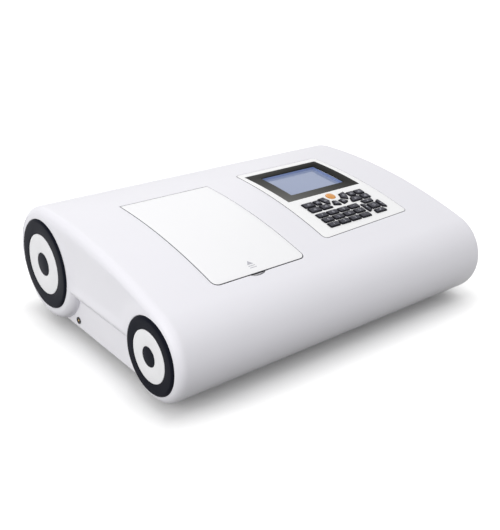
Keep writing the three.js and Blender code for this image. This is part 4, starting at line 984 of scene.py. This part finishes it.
# The bench: a pale floor that catches the shadow. Where it is seen, straight, in gloss or through
# glass, it gets some light of its own and stays white, but that light is held low under and just past
# the object's outline in plan: a painted shadow round its foot.
floor_half = 7.0
outline_half, fade_out = (0.31, 0.2, 0), 0.08
floor_mesh = bpy.data.meshes.new("floor")
corners = [(-1, -1), (1, -1), (1, 1), (-1, 1)]
floor_mesh.from_pydata([(x * floor_half, y * floor_half, 0) for x, y in corners], [], [(0, 1, 2, 3)])
floor = new_object("floor", floor_mesh)


def looked_at(tree):
    """1 for camera, glossy and transmission rays, 0 for those that only carry light."""
    path, larger = add(tree, "LightPath").outputs, {"operation": "MAXIMUM"}
    direct = add(tree, "Math", larger, path["Is Camera Ray"], path["Is Glossy Ray"])
    return add(tree, "Math", larger, direct.outputs[0], path["Is Transmission Ray"]).outputs[0]


bench = bpy.data.materials.new("white_bench")
bench.use_nodes = True
tree = bench.node_tree
either = looked_at(tree)
place = add(tree, "TexCoord").outputs["Object"]
spot = add(tree, "VectorMath", {"operation": "ABSOLUTE"}, place).outputs[0]
past_edge = add(tree, "VectorMath", {"operation": "SUBTRACT"}, spot, outline_half).outputs[0]
outside = add(tree, "VectorMath", {"operation": "MAXIMUM"}, past_edge).outputs[0]
distance = add(tree, "VectorMath", {"operation": "LENGTH"}, outside).outputs["Value"]
# The floor's own light fades to almost none at the outline: painted shadow.
own = add(tree, "MapRange", Value=distance, From_Max=fade_out, To_Min=0.02, To_Max=0.5).outputs[0]
lift = add(tree, "Math", {"operation": "MULTIPLY"}, either, own).outputs[0]
shade = add(tree, "MapRange", Value=either, To_Min=0.08, To_Max=1.0).outputs[0]
feed(
    tree, tree.nodes["Principled BSDF"], Base_Color=shade, Roughness=0.9, Specular_IOR_Level=0.1,
    Emission_Color=(1, 1, 1, 1), Emission_Strength=lift,
)
floor_mesh.materials.append(bench)

# The light: a white world, a little dimmer for the light it casts than where it is seen, and four
# soft boxes round the object.
studio = bpy.data.worlds.new("studio")
bpy.context.scene.world = studio
studio.use_nodes = True
tree = studio.node_tree
strength = add(tree, "MapRange", Value=looked_at(tree), To_Min=0.74, To_Max=1.0).outputs[0]
feed(tree, tree.nodes["Background"], Color=(1, 1, 1, 1), Strength=strength)


def lamp(name, size, power, spot):
    """A square soft box at a spot, facing the object's middle."""
    aim = Vector((0, 0, 0.1))
    data = bpy.data.lights.new(name, "AREA")
    data.size, data.energy = size, power
    box = new_object(name, data)
    box.location = spot
    box.rotation_mode = "QUATERNION"
    box.rotation_quaternion = (aim - Vector(spot)).to_track_quat("-Z", "Y")


lamp("back_softbox", 2.0, 6.0, (0.6, 1.7, 1.7))
lamp("left_softbox", 1.0, 6.6, (-1.6, -0.1, 0.6))
lamp("front_left_softbox", 1.0, 3.4, (-1.5, -1.2, 0.8))
lamp("front_softbox", 1.4, 4.2, (0.0, -1.4, 2.0))

# Camera: its place and turn are those fitted to the photograph's edges.
camera_place = [-0.800881, -0.956046, 0.640136]
yaw, pitch, roll = 0.6915, 0.4289, 0.0257
ahead = np.array([np.sin(yaw) * np.cos(pitch), np.cos(yaw) * np.cos(pitch), -np.sin(pitch)])
level = np.cross(ahead, [0, 0, 1]) / np.hypot(ahead[0], ahead[1])
upward = np.cross(level, ahead)
right = level * np.cos(roll) + upward * np.sin(roll)
upright = upward * np.cos(roll) - level * np.sin(roll)
view = bpy.data.cameras.new("camera")
view.sensor_width = 36
view.lens = 54.377
view.clip_start, view.clip_end = 0.05, 50
camera = new_object("camera", view)
rows = np.column_stack([right, upright, -ahead, camera_place]).tolist()
camera.matrix_world = Matrix([*rows, (0, 0, 0, 1)])
bpy.context.scene.camera = camera
bpy.context.scene.view_settings.view_transform = "Standard"
